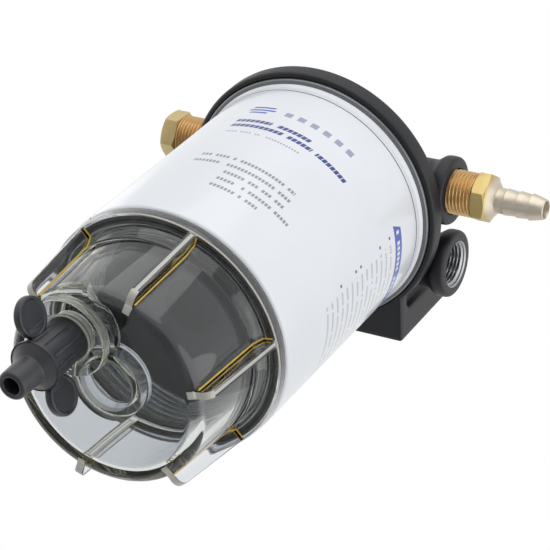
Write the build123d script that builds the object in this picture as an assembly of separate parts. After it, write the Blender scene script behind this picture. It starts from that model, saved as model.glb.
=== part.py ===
from build123d import *
from math import cos, pi, radians, sin, tan
import os

# Spin-on fuel filter and water separator, in millimetres, as it hangs on an engine bay wall.
# +Z up, +Y towards the wall, +X towards the hose fitting. Everything is drawn about the can's
# axis, with z = 0 at the can's lower edge, and moved to the bracket's bolts at the end.

# Fits
running_gap = 0.05        # radial clearance of threads and turned fits
seat_gap = 0.3            # clearance of loose neighbours
cut_past = 1.0            # how far a cut runs on past the face it opens

# Can
can_r = 46.5
can_height = 104.0
can_wall = 0.7
can_corner_r = 1.6
can_lip_width = 5.6       # how far the lower edge is rolled in
can_flare = 0.9           # how far the top edge is rolled out
can_flare_height = 1.5

# Seaming lid
seam_overhang = 1.7       # the double seam stands this far outside the can
seam_height = 4.2
seam_round = 0.8
lid_sheet = 0.8
lid_panel_drop = 3.7      # the panel lies this far below the top of the seam
lid_mouth_r = 26.0
gasket_rib_height = 2.0

# Gasket between can and head
gasket_inner_r = 31.0
gasket_outer_r = 36.0

# Base plate and the nipple that it screws onto
base_plate_thickness = 4.0
base_hub_r = 15.5
base_hub_height = 3.8
inlet_hole_count = 8
inlet_hole_r = 3.0
inlet_circle_r = 21.0
nipple_r = 12.7
nipple_bore_r = 9.0
nipple_below_face = 19.0
nipple_into_head = 8.0

# Filter head casting
seam_to_face = 1.8        # the seam stops this far short of the head's face
skirt_gap = 1.0
rim_wall = 2.0
skirt_depth = 4.8
rim_above_face = 2.5
rim_round = 0.8
deck_low_r = 47.0         # low top of the casting, inside its rim
deck_top_r = 44.0
deck_height = 7.5         # above the face
deck_round = 2.0
hub_r = 17.5              # boss above the nipple
hub_height = 23.0
hub_round = 3.0
block_half_width = 36.0   # joins the two lines of port bosses
block_height = 20.0
block_round = 3.0
inlet_ring_inner_r = 18.0
inlet_ring_outer_r = 28.0
inlet_ring_depth = 5.0

# Ports, four of them, in two lines along X
port_height = 14.0        # axis above the face
front_port_y = -4.85
rear_port_y = 26.15
port_reach = 51.2         # boss faces on both sides
boss_r = 13.0
boss_round = 2.2
boss_collar_length = 4.8
boss_cone_length = 3.4
boss_neck_r = 10.5
boss_saddle_r = 1.5
port_thread_r = 8.5
port_depth = 16.0
gallery_r = 7.0
inlet_drilling_r = 4.5

# Bracket pad, cast with the head
pad_half_width = 37.0
pad_back_y = 54.0
pad_thickness = 12.0
pad_height = 53.0         # top above the face
pad_corner_r = 8.0
pad_edge_break = 1.0
flange_depth = 20.0
flange_height = 5.8
web_half_width = 34.0
web_height = 24.0         # top above the face
web_round = 3.0
bolt_half_spacing = 26.0
bolt_below_top = 10.0
bolt_hole_r = 4.5

# Hexagons of the fitting and the plug
hex_flats = 17.0

# Hose fitting
fitting_showing = 9.3     # thread left showing outside its boss
fitting_hex_length = 5.5
fitting_hex_turn = -4.0
fitting_cone_length = 2.4
fitting_cone_large_r = 8.4
fitting_cone_small_r = 5.5
fitting_stem_r = 4.85
fitting_stem_length = 3.5
barb_count = 3
barb_pitch = 4.95
barb_crest_r = 5.05
barb_foot_r = 4.6
barb_tip_length = 5.6
barb_tip_r = 3.75
fitting_bore_r = 3.1

# Plug
plug_showing = 14.2       # thread left showing outside its boss
plug_hex_length = 6.2
plug_hex_turn = 32.0
plug_hex_crown = 0.3
plug_lead = 1.0

# Thread ring in the can's lower end
thread_ring_height = 14.3
bowl_thread_r = 40.0
bowl_neck_height = 14.0

# Filter element
media_outer_r = 36.5
media_inner_r = 20.0
media_fold_depth = 5.0
pleat_count = 36
cap_sheet = 1.2
cap_rim_sheet = 0.7
cap_rim_height = 4.8
tab_count = 6
tab_width = 8.0
tab_reach = 6.0
cap_boss_r = 9.5
cap_boss_depth = 1.2
cap_neck_r = 16.2
cap_neck_height = 6.5
tube_wall = 0.8
tube_slot_rows = 3
tube_slots_per_row = 6
tube_slot_width = 4.0
tube_slot_height = 12.0
element_seal_height = 5.4

# Sprung plate above the element
spring_sheet = 0.8
spring_height = 7.7
spring_band = 5.5
spring_leg_run = 5.5
spring_leg_count = 4
spring_leg_width = 8.0
spring_foot = 1.4
spring_bend = 0.5

# Bowl
collar_r = 46.0
collar_height = 4.3
collar_round = 1.2
collar_gap = 0.3          # between collar and can
neck_inner_r = 35.4
seal_inner_r = 41.8
seal_height = 3.0
seal_width = 2.8
wall_top_r = 39.3
wall_top_z = -9.0
wall_low_r = 36.9
wall_low_z = -38.0
cone_top_r = 41.2
inner_low_r = 33.2
floor_z = -42.0
floor_thickness = 3.5
outer_corner_r = 4.0
inner_corner_r = 3.0

# Bowl ribs
rib_count = 6
rib_turn = 50.0
rib_thickness = 3.0
rib_top_r = 45.5
rib_foot_r = 41.75
rib_foot_z = -41.5
rib_corner_r = 3.5
rib_root_depth = 2.0      # how far a rib's foot goes into the wall

# Inner collar on the bowl's floor
inner_collar_r = 13.3
inner_collar_bore_r = 9.8
inner_collar_height = 7.5

# Drain boss through the bowl's floor
drain_x = -10.2
drain_y = -18.3
drain_face_z = -45.3
drain_boss_face_r = 14.3
drain_boss_top_r = 15.5
drain_boss_height = 10.5
drain_thread_r = 8.0
drain_seat_thickness = 2.0
drain_hole_r = 3.5

# Drain valve
valve_face_gap = 0.4      # the body's top stands this far below the boss
valve_neck_r = 7.45
valve_nose_r = 4.2
valve_nose_length = 2.4
valve_nose_gap = 0.5
valve_relief_r = 6.6
valve_relief_length = 1.6
valve_body_low_r = 8.4
valve_body_length = 17.2
valve_shoulder_r = 9.0
valve_shoulder_height = 1.0
valve_shoulder_top_round = 0.3
valve_shoulder_low_round = 1.2
valve_flute_count = 12
valve_flute_r = 0.8
valve_flute_depth = 0.4
valve_flute_margin = 1.5  # plain band left above and below the flutes
valve_cone_length = 3.2
valve_cone_foot_round = 1.0
valve_spout_r = 5.4
valve_spout_tip_r = 5.1
valve_spout_length = 10.6
valve_tip_round = 1.3
valve_thread_edge = 0.5
valve_bore_r = 2.55
valve_side_hole_r = 0.7
ear_angle = 71.4
ear_centre_r = 14.3
ear_r = 7.0
ear_below_face = 12.0
ear_thickness = 3.0

# Heights, from the can's lower edge up
ring_top = can_wall + thread_ring_height
seam_top = can_height + seam_height
panel_top = seam_top - lid_panel_drop
panel_low = panel_top - lid_sheet
base_low = panel_low - base_plate_thickness
face_z = seam_top + seam_to_face
rim_low = face_z - skirt_depth
port_z = face_z + port_height
pad_top = face_z + pad_height
bolt_z = pad_top - bolt_below_top
lower_cap_top = ring_top + cap_sheet
upper_cap_top = base_low - spring_height
upper_cap_low = upper_cap_top - cap_sheet

# Radii that follow
can_inner_r = can_r - can_wall
skirt_r = can_r + seam_overhang + skirt_gap
rim_r = skirt_r + rim_wall
port_bore_r = port_thread_r + running_gap
seal_outer_r = seal_inner_r + seal_width
element_r = media_outer_r + seat_gap + cap_rim_sheet
spring_outer_r = element_r - spring_leg_run
spring_inner_r = spring_outer_r - spring_band

# From the can's axis to the bracket's bolts
frame_shift = Pos(0, -pad_back_y, -bolt_z)


def turned(points, radii=0.0):
    """Solid turned about Z from a closed outline of (r, z) points, with rounded corners."""
    corner_radii = radii if isinstance(radii, list) else [radii] * len(points)
    outline = [(r, 0, z) for r, z in points]
    if any(corner_radii):
        line = FilletPolyline(*outline, radius=corner_radii, close=True)
    else:
        line = Polyline(*outline, close=True)
    return revolve(make_face(line), Axis.Z)


def tube(outer_r, inner_r, low_z, high_z):
    """Plain ring or tube about Z."""
    height = high_z - low_z
    ring = Cylinder(outer_r, height) - Cylinder(inner_r, height)
    return Pos(0, 0, low_z + height / 2) * ring


def disc(r, low_z, high_z):
    """Plain round solid about Z."""
    return Pos(0, 0, (low_z + high_z) / 2) * Cylinder(r, high_z - low_z)


def block(x_range, y_range, z_range):
    """Box between two values on each axis."""
    sizes = [high - low for low, high in (x_range, y_range, z_range)]
    centre = [(high + low) / 2 for low, high in (x_range, y_range, z_range)]
    return Pos(*centre) * Box(*sizes)


def rod_x(r, x_range, y, z):
    """Cylinder along X."""
    low, high = x_range
    return Pos((low + high) / 2, y, z) * Rot(0, 90, 0) * Cylinder(r, high - low)


def around(solid, count, turn=0.0):
    """Copies of a solid at even angles about Z."""
    return [Rot(0, 0, turn + i * 360 / count) * solid for i in range(count)]


def radial_plate(points, thickness, radii=0.0):
    """Flat plate in the plane of X and Z from (x, z) points, thickness along Y."""
    corner_radii = radii if isinstance(radii, list) else [radii] * len(points)
    outline = [(x, 0, z) for x, z in points]
    if any(corner_radii):
        line = FilletPolyline(*outline, radius=corner_radii, close=True)
    else:
        line = Polyline(*outline, close=True)
    return extrude(make_face(line), thickness / 2, dir=(0, 1, 0), both=True)


# Filter head: one casting with rim, body, bosses and bracket

def boss_line():
    """Round bar along X with a thicker collar at each end."""
    collar_x = port_reach - boss_collar_length
    neck_x = collar_x - boss_cone_length
    outline = [
        (0, -port_reach), (boss_r, -port_reach), (boss_r, -collar_x), (boss_neck_r, -neck_x),
        (boss_neck_r, neck_x), (boss_r, collar_x), (boss_r, port_reach), (0, port_reach),
    ]
    saddle = [boss_saddle_r] * 4
    return Rot(0, 90, 0) * turned(outline, [0.0, boss_round, *saddle, boss_round, 0.0])


def head_casting():
    rim_top = face_z + rim_above_face
    deck_top = face_z + deck_height
    hub_top = face_z + hub_height
    rim = turned(
        [(0, rim_low), (rim_r, rim_low), (rim_r, rim_top), (0, rim_top)],
        [0.0, rim_round, rim_round, 0.0],
    )
    deck = turned(
        [(0, rim_low), (deck_low_r, rim_low), (deck_low_r, rim_top), (deck_top_r, deck_top), (0, deck_top)],
        [0.0, 0.0, 0.0, deck_round, 0.0],
    )
    hub = turned(
        [(0, rim_low), (hub_r, rim_low), (hub_r, hub_top), (0, hub_top)],
        [0.0, 0.0, hub_round, 0.0],
    )
    bridge = block(
        (-block_half_width, block_half_width), (front_port_y, rear_port_y), (rim_low, face_z + block_height)
    )
    bridge = fillet(bridge.edges().filter_by(Axis.Y).group_by(Axis.Z)[-1], block_round)
    casting = rim + deck + hub + bridge
    for y in (front_port_y, rear_port_y):
        casting += Pos(0, y, port_z) * boss_line()
    return casting + bracket()


def bracket():
    pad_front_y = pad_back_y - pad_thickness
    pad = block((-pad_half_width, pad_half_width), (pad_front_y, pad_back_y), (rim_low, pad_top))
    top_corners = pad.edges().filter_by(Axis.Y).group_by(Axis.Z)[-1]
    pad = fillet(top_corners, pad_corner_r)
    pad = chamfer(pad.faces().sort_by(Axis.Y)[-1].edges(), pad_edge_break)
    flange = block(
        (-pad_half_width, pad_half_width),
        (pad_back_y - flange_depth, pad_front_y + pad_thickness / 2),
        (rim_low, rim_low + flange_height),
    )
    flange = fillet(flange.edges().filter_by(Axis.Z).group_by(Axis.Y)[0], pad_edge_break)
    web = block(
        (-web_half_width, web_half_width),
        (rear_port_y, pad_front_y + pad_thickness / 2),
        (rim_low, face_z + web_height),
    )
    web = fillet(web.edges().filter_by(Axis.Y).group_by(Axis.Z)[-1], web_round)
    return pad + flange + web


def head_cavities():
    nipple_top = face_z + nipple_into_head
    cuts = [
        disc(skirt_r, rim_low - cut_past, face_z),
        disc(nipple_r + running_gap, face_z - cut_past, nipple_top),
        disc(nipple_bore_r, face_z, port_z),
        tube(inlet_ring_outer_r, inlet_ring_inner_r, face_z - cut_past, face_z + inlet_ring_depth),
        Pos(0, (inlet_ring_inner_r + inlet_ring_outer_r) / 2, face_z + port_height / 2)
        * Cylinder(inlet_drilling_r, port_height),
    ]
    for y in (front_port_y, rear_port_y):
        cuts.append(rod_x(gallery_r, (-port_reach, port_reach), y, port_z))
        for side in (-1, 1):
            span = sorted((side * (port_reach - port_depth), side * (port_reach + cut_past)))
            cuts.append(rod_x(port_bore_r, span, y, port_z))
    for x in (-bolt_half_spacing, bolt_half_spacing):
        hole = Cylinder(bolt_hole_r, 3 * pad_thickness)
        cuts.append(Pos(x, pad_back_y, bolt_z) * Rot(90, 0, 0) * hole)
    return cuts


def filter_head():
    return head_casting() - head_cavities()


# Centre nipple and gasket

def centre_nipple():
    return tube(nipple_r, nipple_bore_r, face_z - nipple_below_face, face_z + nipple_into_head)


def can_gasket():
    return tube(gasket_outer_r, gasket_inner_r, panel_top, face_z)


# Brass pieces in the front ports

def hexagon(length, turn, crown=0.0):
    """Hexagonal bar along +X from x = 0, with its corners turned off at both ends."""
    corner_r = hex_flats / 2 / cos(pi / 6)
    bar = extrude(Plane.YZ * Rot(0, 0, turn) * RegularPolygon(corner_r, 6), length)
    lean = (corner_r - hex_flats / 2) * tan(radians(30))
    cover = [
        (0, 0), (hex_flats / 2, 0), (corner_r + crown, lean), (corner_r + crown, length - lean),
        (hex_flats / 2, length), (0, length),
    ]
    return bar & Rot(0, 90, 0) * turned(cover)


def hose_barb_fitting():
    hex_x = port_reach + fitting_showing
    cone_x = hex_x + fitting_hex_length
    stem_x = cone_x + fitting_cone_length
    barb_x = stem_x + fitting_stem_length
    thread_x = port_reach - port_depth + seat_gap
    in_hex_x = hex_x + fitting_hex_length / 2
    outline = [
        (0, thread_x), (port_thread_r, thread_x), (port_thread_r, in_hex_x),
        (fitting_cone_large_r, in_hex_x), (fitting_cone_large_r, cone_x),
        (fitting_cone_small_r, stem_x), (fitting_stem_r, stem_x),
    ]
    for i in range(barb_count - 1):
        crest_x = barb_x + i * barb_pitch
        foot_x = crest_x + barb_pitch
        outline += [(fitting_stem_r, crest_x)] if i == 0 else []
        outline += [(barb_crest_r, crest_x), (barb_foot_r, foot_x)]
    tip_x = barb_x + (barb_count - 1) * barb_pitch
    outline += [(barb_crest_r, tip_x), (barb_tip_r, tip_x + barb_tip_length), (0, tip_x + barb_tip_length)]
    turned_part = Rot(0, 90, 0) * turned(outline)
    nut = Pos(hex_x, 0, 0) * hexagon(fitting_hex_length, fitting_hex_turn)
    bore = rod_x(fitting_bore_r, (thread_x - cut_past, tip_x + barb_tip_length + cut_past), 0, 0)
    return Pos(0, front_port_y, port_z) * (turned_part + nut - bore)


def port_plug():
    hex_x = port_reach + plug_showing
    thread_x = port_reach - port_depth + seat_gap
    thread = rod_x(port_thread_r, (thread_x, hex_x + plug_hex_length / 2), 0, 0)
    thread = chamfer(thread.edges().filter_by(GeomType.CIRCLE).group_by(Axis.X)[0], plug_lead)
    nut = Pos(hex_x, 0, 0) * hexagon(plug_hex_length, plug_hex_turn, plug_hex_crown)
    return Pos(0, front_port_y, port_z) * Rot(0, 0, 180) * (thread + nut)


# Can

def can_shell():
    lip_r = can_inner_r + can_wall - can_lip_width
    neck_z = can_height - can_flare_height
    return turned(
        [
            (lip_r, 0), (can_r, 0), (can_r, neck_z), (can_r + can_flare, can_height),
            (can_inner_r, can_height), (can_inner_r, can_wall), (lip_r, can_wall),
        ],
        [0.0, can_corner_r, 0.0, 0.0, 0.0, 0.0, 0.0],
    )


def seaming_lid():
    wall_r = can_inner_r - lid_sheet
    seam_r = can_r + seam_overhang
    seam = turned(
        [(wall_r, can_height), (seam_r, can_height), (seam_r, seam_top), (wall_r, seam_top)],
        [0.0, seam_round, seam_round, seam_round],
    )
    chuck_wall = tube(can_inner_r - running_gap, wall_r, panel_low, can_height + seam_height / 2)
    panel = tube(can_inner_r - running_gap, lid_mouth_r, panel_low, panel_top)
    lid = seam + chuck_wall + panel
    rib_top = panel_top + gasket_rib_height
    for rib_inner_r in (gasket_inner_r - seat_gap - lid_sheet, gasket_outer_r + seat_gap):
        lid += tube(rib_inner_r + lid_sheet, rib_inner_r, panel_low, rib_top)
    return lid


def base_plate():
    hub_top = panel_low + base_hub_height
    plate = disc(can_inner_r - seat_gap, base_low, panel_low) + disc(base_hub_r, base_low, hub_top)
    plate -= disc(nipple_r + running_gap, base_low - cut_past, hub_top + cut_past)
    hole = Pos(inlet_circle_r, 0, base_low) * Cylinder(inlet_hole_r, 3 * base_plate_thickness)
    return plate - around(hole, inlet_hole_count)


def bowl_thread_ring():
    return tube(can_inner_r - running_gap, bowl_thread_r + running_gap, can_wall, ring_top)


# Filter element

def filter_media():
    """Pleated strip, closed to a ring: its outer and inner zigzags share their folds' angles."""
    outer_points = []
    inner_points = []
    for i in range(pleat_count):
        tip = 2 * pi * i / pleat_count
        valley = tip + pi / pleat_count
        for r, angle, points in (
            (media_outer_r, tip, outer_points),
            (media_inner_r + media_fold_depth, valley, outer_points),
            (media_outer_r - media_fold_depth, tip, inner_points),
            (media_inner_r, valley, inner_points),
        ):
            points.append((r * cos(angle), r * sin(angle)))
    band = make_face(Polyline(*outer_points, close=True)) - make_face(Polyline(*inner_points, close=True))
    return Pos(0, 0, lower_cap_top) * extrude(band, upper_cap_low - lower_cap_top)


def element_centre_tube():
    outer_r = media_inner_r - seat_gap
    body = tube(outer_r, outer_r - tube_wall, lower_cap_top, upper_cap_low)
    row_step = (upper_cap_low - lower_cap_top) / tube_slot_rows
    for row in range(tube_slot_rows):
        slot = Pos(outer_r, 0, lower_cap_top + (row + 0.5) * row_step) * Box(
            4 * tube_wall, tube_slot_width, tube_slot_height
        )
        body -= around(slot, tube_slots_per_row)
    return body


def cap_cup(low_z, rim_low_z, rim_high_z):
    """Disc with a rim round it, pressed from sheet, that holds one end of the pleats."""
    rim_inner_r = media_outer_r + seat_gap
    return disc(element_r, low_z, low_z + cap_sheet) + tube(element_r, rim_inner_r, rim_low_z, rim_high_z)


def lower_end_cap():
    cap = cap_cup(ring_top, ring_top, lower_cap_top + cap_rim_height)
    tab = block(
        (media_outer_r, element_r + tab_reach), (-tab_width / 2, tab_width / 2), (ring_top, lower_cap_top)
    )
    for copy in around(tab, tab_count):
        cap += copy
    return cap + disc(cap_boss_r, ring_top - cap_boss_depth, ring_top + cap_sheet / 2)


def upper_end_cap():
    cap = cap_cup(upper_cap_low, upper_cap_low - cap_rim_height, upper_cap_top)
    neck_top = upper_cap_top + cap_neck_height
    cap += disc(cap_neck_r, upper_cap_low, neck_top)
    cap -= disc(nipple_r + seat_gap, upper_cap_low - cut_past, upper_cap_top)
    return cap - disc(cap_neck_r - cap_sheet, upper_cap_top, neck_top + cut_past)


def element_seal():
    low_z = upper_cap_top
    return tube(
        cap_neck_r - cap_sheet - running_gap, nipple_r + running_gap, low_z, low_z + element_seal_height
    )


def element_spring():
    top = base_low
    ring = tube(spring_outer_r, spring_inner_r, top - spring_sheet, top)
    foot_r = element_r - spring_foot
    leg = radial_plate(
        [
            (spring_outer_r - spring_bend, top), (spring_outer_r + spring_bend, top),
            (foot_r, upper_cap_top + spring_sheet), (element_r, upper_cap_top + spring_sheet),
            (element_r, upper_cap_top), (foot_r - spring_bend, upper_cap_top),
            (spring_outer_r - spring_bend, top - spring_sheet),
        ],
        spring_leg_width,
    )
    for copy in around(leg, spring_leg_count, 45):
        ring += copy
    return ring


# Bowl: one clear moulding

def bowl_shell():
    collar_top = -collar_gap
    collar_low = collar_top - collar_height
    inner_floor_z = floor_z + floor_thickness
    neck_top = bowl_neck_height
    outline = [
        (0, inner_floor_z), (inner_low_r, inner_floor_z), (neck_inner_r, collar_low),
        (neck_inner_r, neck_top), (bowl_thread_r, neck_top), (bowl_thread_r, collar_top),
        (collar_r, collar_top), (collar_r, collar_low), (cone_top_r, collar_low), (wall_top_r, wall_top_z),
        (wall_low_r, floor_z), (0, floor_z),
    ]
    radii = [
        0.0, inner_corner_r, 0.0, 0.0, 0.0, 0.0, collar_round, collar_round, 0.0, 0.0, outer_corner_r, 0.0,
    ]
    return turned(outline, radii)


def bowl_rib():
    collar_low = -collar_gap - collar_height
    wall_middle = (inner_low_r + wall_low_r) / 2
    top_in_r = (neck_inner_r + wall_top_r) / 2
    return radial_plate(
        [
            (top_in_r, collar_low + cut_past), (rib_top_r, collar_low + cut_past), (rib_top_r, collar_low),
            (rib_foot_r, rib_foot_z), (wall_middle - rib_root_depth, rib_foot_z), (wall_middle, wall_low_z),
        ],
        rib_thickness,
        [0.0, 0.0, 0.0, rib_corner_r, 0.0, 0.0],
    )


def drain_boss():
    """Boss through the floor, slightly drafted, its inner end kept inside the bowl's wall."""
    top_z = drain_face_z + drain_boss_height
    boss = Pos(0, 0, drain_face_z + drain_boss_height / 2) * Cone(
        drain_boss_face_r, drain_boss_top_r, drain_boss_height
    )
    room = disc((inner_low_r + wall_low_r) / 2, floor_z + floor_thickness / 2, top_z + cut_past)
    room += disc(collar_r, drain_face_z - cut_past, floor_z + floor_thickness / 2)
    return Pos(drain_x, drain_y, 0) * boss & room


def bowl():
    inner_floor_z = floor_z + floor_thickness
    collar_top = inner_floor_z + inner_collar_height
    body = bowl_shell()
    for rib in around(bowl_rib(), rib_count, rib_turn):
        body += rib
    body += drain_boss()
    body += disc(inner_collar_r, floor_z + floor_thickness / 2, collar_top)
    body -= disc(inner_collar_bore_r, inner_floor_z, collar_top + cut_past)
    body -= tube(seal_outer_r + seat_gap, seal_inner_r - seat_gap, -seal_height, cut_past)
    seat_z = drain_face_z + drain_boss_height - drain_seat_thickness
    at_drain = Pos(drain_x, drain_y, 0)
    body -= at_drain * disc(drain_thread_r + running_gap, drain_face_z - cut_past, seat_z)
    body -= at_drain * disc(drain_hole_r, seat_z - cut_past, seat_z + drain_seat_thickness + cut_past)
    return body


def bowl_seal():
    return tube(seal_outer_r, seal_inner_r, -seal_height, 0)


# Drain valve: one black moulding

def valve_ear():
    ear_z = drain_face_z - ear_below_face
    lobe = Pos(ear_centre_r, 0, ear_z) * Rot(90, 0, 0) * Cylinder(ear_r, ear_thickness)
    lobe = fillet(lobe.edges().filter_by(GeomType.CIRCLE), ear_thickness / 3)
    root = block(
        (valve_neck_r / 2 + valve_bore_r / 2, ear_centre_r),
        (-ear_thickness / 2, ear_thickness / 2),
        (ear_z - ear_r / 2, ear_z + ear_r / 2),
    )
    return lobe + root


def drain_valve():
    seat_z = drain_face_z + drain_boss_height - drain_seat_thickness
    nose_top = seat_z - valve_nose_gap
    nose_low = nose_top - valve_nose_length
    relief_low = nose_low - valve_relief_length
    body_top = drain_face_z - valve_face_gap
    shoulder_z = body_top - valve_body_length
    cone_z = shoulder_z - valve_shoulder_height
    spout_z = cone_z - valve_cone_length
    tip_z = spout_z - valve_spout_length
    body = turned(
        [
            (0, nose_top), (valve_nose_r, nose_top), (valve_nose_r, nose_low), (valve_relief_r, nose_low),
            (valve_relief_r, relief_low), (drain_thread_r, relief_low), (drain_thread_r, drain_face_z),
            (valve_neck_r, drain_face_z), (valve_body_low_r, shoulder_z), (valve_shoulder_r, shoulder_z),
            (valve_shoulder_r, cone_z), (valve_spout_r, spout_z), (valve_spout_tip_r, tip_z), (0, tip_z),
        ],
        [
            0.0, 0.0, 0.0, 0.0, 0.0, valve_thread_edge, 0.0, 0.0, 0.0, valve_shoulder_top_round,
            valve_shoulder_low_round, valve_cone_foot_round, valve_tip_round, 0.0,
        ],
    )
    flute_slope = (valve_body_low_r - valve_neck_r) / valve_body_length
    flute_tilt = -flute_slope * 180 / pi
    flute_centre_r = (valve_body_low_r + valve_neck_r) / 2 + valve_flute_r - valve_flute_depth
    flute = Pos(flute_centre_r, 0, (body_top + shoulder_z) / 2) * Rot(0, flute_tilt, 0) * Cylinder(
        valve_flute_r, valve_body_length - 2 * valve_flute_margin
    )
    body -= around(flute, valve_flute_count, ear_angle + 180 / valve_flute_count)
    for ear in around(valve_ear(), 2, ear_angle):
        body += ear
    body -= disc(valve_bore_r, tip_z - cut_past, nose_low)
    side_hole = Rot(90, 0, 0) * Cylinder(valve_side_hole_r, 3 * drain_thread_r)
    body -= Pos(0, 0, (nose_low + relief_low) / 2) * Rot(0, 0, ear_angle) * side_hole
    return Pos(drain_x, drain_y, 0) * body


def drain_seal():
    seat_z = drain_face_z + drain_boss_height - drain_seat_thickness
    groove_width = valve_nose_gap + valve_nose_length
    wire_r = groove_width / 2 - running_gap
    ring = Torus(valve_nose_r + wire_r + running_gap, wire_r)
    return Pos(drain_x, drain_y, seat_z - groove_width / 2) * ring


pieces = {
    "filter_head": filter_head,
    "centre_nipple": centre_nipple,
    "can_gasket": can_gasket,
    "hose_barb_fitting": hose_barb_fitting,
    "port_plug": port_plug,
    "can_shell": can_shell,
    "seaming_lid": seaming_lid,
    "base_plate": base_plate,
    "bowl_thread_ring": bowl_thread_ring,
    "filter_media": filter_media,
    "element_centre_tube": element_centre_tube,
    "lower_end_cap": lower_end_cap,
    "upper_end_cap": upper_end_cap,
    "element_seal": element_seal,
    "element_spring": element_spring,
    "bowl": bowl,
    "bowl_seal": bowl_seal,
    "drain_valve": drain_valve,
    "drain_seal": drain_seal,
}

os.makedirs("parts", exist_ok=True)
for name, make in pieces.items():
    export_step(frame_shift * make(), f"parts/{name}.step")
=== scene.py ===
import logging
import math
from dataclasses import dataclass
from enum import Enum

import bpy
from mathutils import Matrix, Vector


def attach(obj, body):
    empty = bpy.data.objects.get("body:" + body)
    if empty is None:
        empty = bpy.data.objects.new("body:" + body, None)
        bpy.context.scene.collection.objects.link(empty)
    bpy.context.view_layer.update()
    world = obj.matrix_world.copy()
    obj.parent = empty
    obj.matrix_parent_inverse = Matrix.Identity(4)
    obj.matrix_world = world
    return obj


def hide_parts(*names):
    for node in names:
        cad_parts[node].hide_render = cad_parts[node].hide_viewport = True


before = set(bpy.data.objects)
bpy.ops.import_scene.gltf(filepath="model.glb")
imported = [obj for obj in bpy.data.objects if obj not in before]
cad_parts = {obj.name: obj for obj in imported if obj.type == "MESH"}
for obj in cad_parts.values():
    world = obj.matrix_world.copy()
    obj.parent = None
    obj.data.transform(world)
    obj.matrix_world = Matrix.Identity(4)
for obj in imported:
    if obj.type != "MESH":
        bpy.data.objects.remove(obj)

# Looks of a spin-on fuel filter and water separator. Sizes are in millimetres, drawn about the can's axis
# with z = 0 at the can's lower edge, and every finished piece is moved to the frame's place at the end.

log = logging.getLogger("separator")

Pair = tuple[float, float]
Points = list[tuple[float, ...]]
Piece = bpy.types.Object
Material = bpy.types.Material
Tree = bpy.types.NodeTree
Node = bpy.types.Node
Socket = bpy.types.NodeSocket

MM = 0.001
TO_FRAME = Vector((0.0, -54.0, -153.0)) * MM
PAST = 1.0                # how far a cutter goes past the face that it cuts

# Sizes that several pieces share

FRONT_Y, REAR_Y, PORT_Z = -4.85, 26.15, 124.0    # axes of the front and rear ports
BOSS_FACE = 51.2          # faces of the ports' bosses, along X
PIPE_PITCH = 1.411
FIT_R = 45.75             # outside of the lid and the thread ring, which fit in the can's bore
BOWL_PITCH, BOWL_THREAD = 2.5, 1.15              # pitch and depth of the thread between can and bowl
WALL_LOW, WALL_TOP, WALL_END = (36.9, -42.0), (39.3, -9.0), (41.2, -4.6)    # outside of the bowl, (r, z)
RIBS, RIB_TURN = 6, 50.0  # the bowl's ribs, and the angle of the first
DRAIN = (-10.2, -18.3)    # axis of the drain valve
DRAIN_FACE = -45.3        # lower face of its boss


class Cut(Enum):
    """How one mesh acts on another."""

    ADD = "UNION"
    TAKE = "DIFFERENCE"
    KEEP = "INTERSECT"


class Side(Enum):
    """Which side of the head a port looks to."""

    RIGHT = 1
    LEFT = -1


# Mesh tools

def nothing_selected() -> None:
    """Deselects every object."""
    bpy.ops.object.select_all(action="DESELECT")


def alone(piece: Piece) -> None:
    """Selects one piece and nothing else.

    Args:
        piece: the piece, which also becomes the active one.
    """
    nothing_selected()
    piece.select_set(True)
    bpy.context.view_layer.objects.active = piece


def apply_all(piece: Piece) -> None:
    """Applies every modifier of a piece, in order.

    Args:
        piece: the piece, left with none.
    """
    alone(piece)
    for modifier in list(piece.modifiers):
        bpy.ops.object.modifier_apply(modifier=modifier.name)


def combine(piece: Piece, cut: Cut, *tools: Piece) -> Piece:
    """Adds, takes away or intersects tools, one after another, and uses them up.

    Args:
        piece: closed mesh that stays.
        cut: what the tools do.
        tools: closed meshes that act on it.

    Returns:
        The piece.
    """
    for tool in tools:
        modifier = piece.modifiers.new("cut", "BOOLEAN")
        modifier.solver = "MANIFOLD"
        modifier.operation = cut.value
        modifier.object = tool
        apply_all(piece)
        bpy.data.objects.remove(tool, do_unlink=True)
    return piece


def rounded(corners: Points, steps: int = 5) -> Points:
    """Outline with its corners turned to arcs.

    Args:
        corners: (r, z) of a sharp corner, or (r, z, radius) of a rounded one.
        steps: points in each arc, less one.

    Returns:
        The outline's points.
    """
    outline: Points = []
    spots = [Vector(corner[:2]) for corner in corners]
    for i, spot in enumerate(spots):
        if len(corners[i]) == 2:
            outline.append(corners[i])
            continue
        radius = corners[i][2]
        to_last = (spots[i - 1] - spot).normalized()
        to_next = (spots[(i + 1) % len(spots)] - spot).normalized()
        half = to_last.angle(to_next) / 2
        reach = radius / math.tan(half)
        centre = spot + (to_last + to_next).normalized() * (radius / math.sin(half))
        start = spot + to_last * reach - centre
        end = spot + to_next * reach - centre
        sweep = start.angle_signed(end)
        for step in range(steps + 1):
            turn = -sweep * step / steps
            cos, sin = math.cos(turn), math.sin(turn)
            outline.append((centre.x + start.x * cos - start.y * sin,
                            centre.y + start.x * sin + start.y * cos))
    return outline


def drawn(points: list[Vector]) -> Piece:
    """Open line of edges through points, left in edit mode.

    Args:
        points: places in metres.

    Returns:
        The new object.
    """
    nothing_selected()
    bpy.ops.mesh.primitive_plane_add(size=0.01)
    piece = bpy.context.active_object
    bpy.ops.object.mode_set(mode="EDIT")
    bpy.ops.mesh.select_all(action="SELECT")
    bpy.ops.mesh.merge(type="CENTER")
    bpy.ops.transform.translate(value=points[0])
    for here, there in zip(points, points[1:]):
        bpy.ops.mesh.extrude_vertices_move(TRANSFORM_OT_translate={"value": there - here})
    return piece


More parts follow.
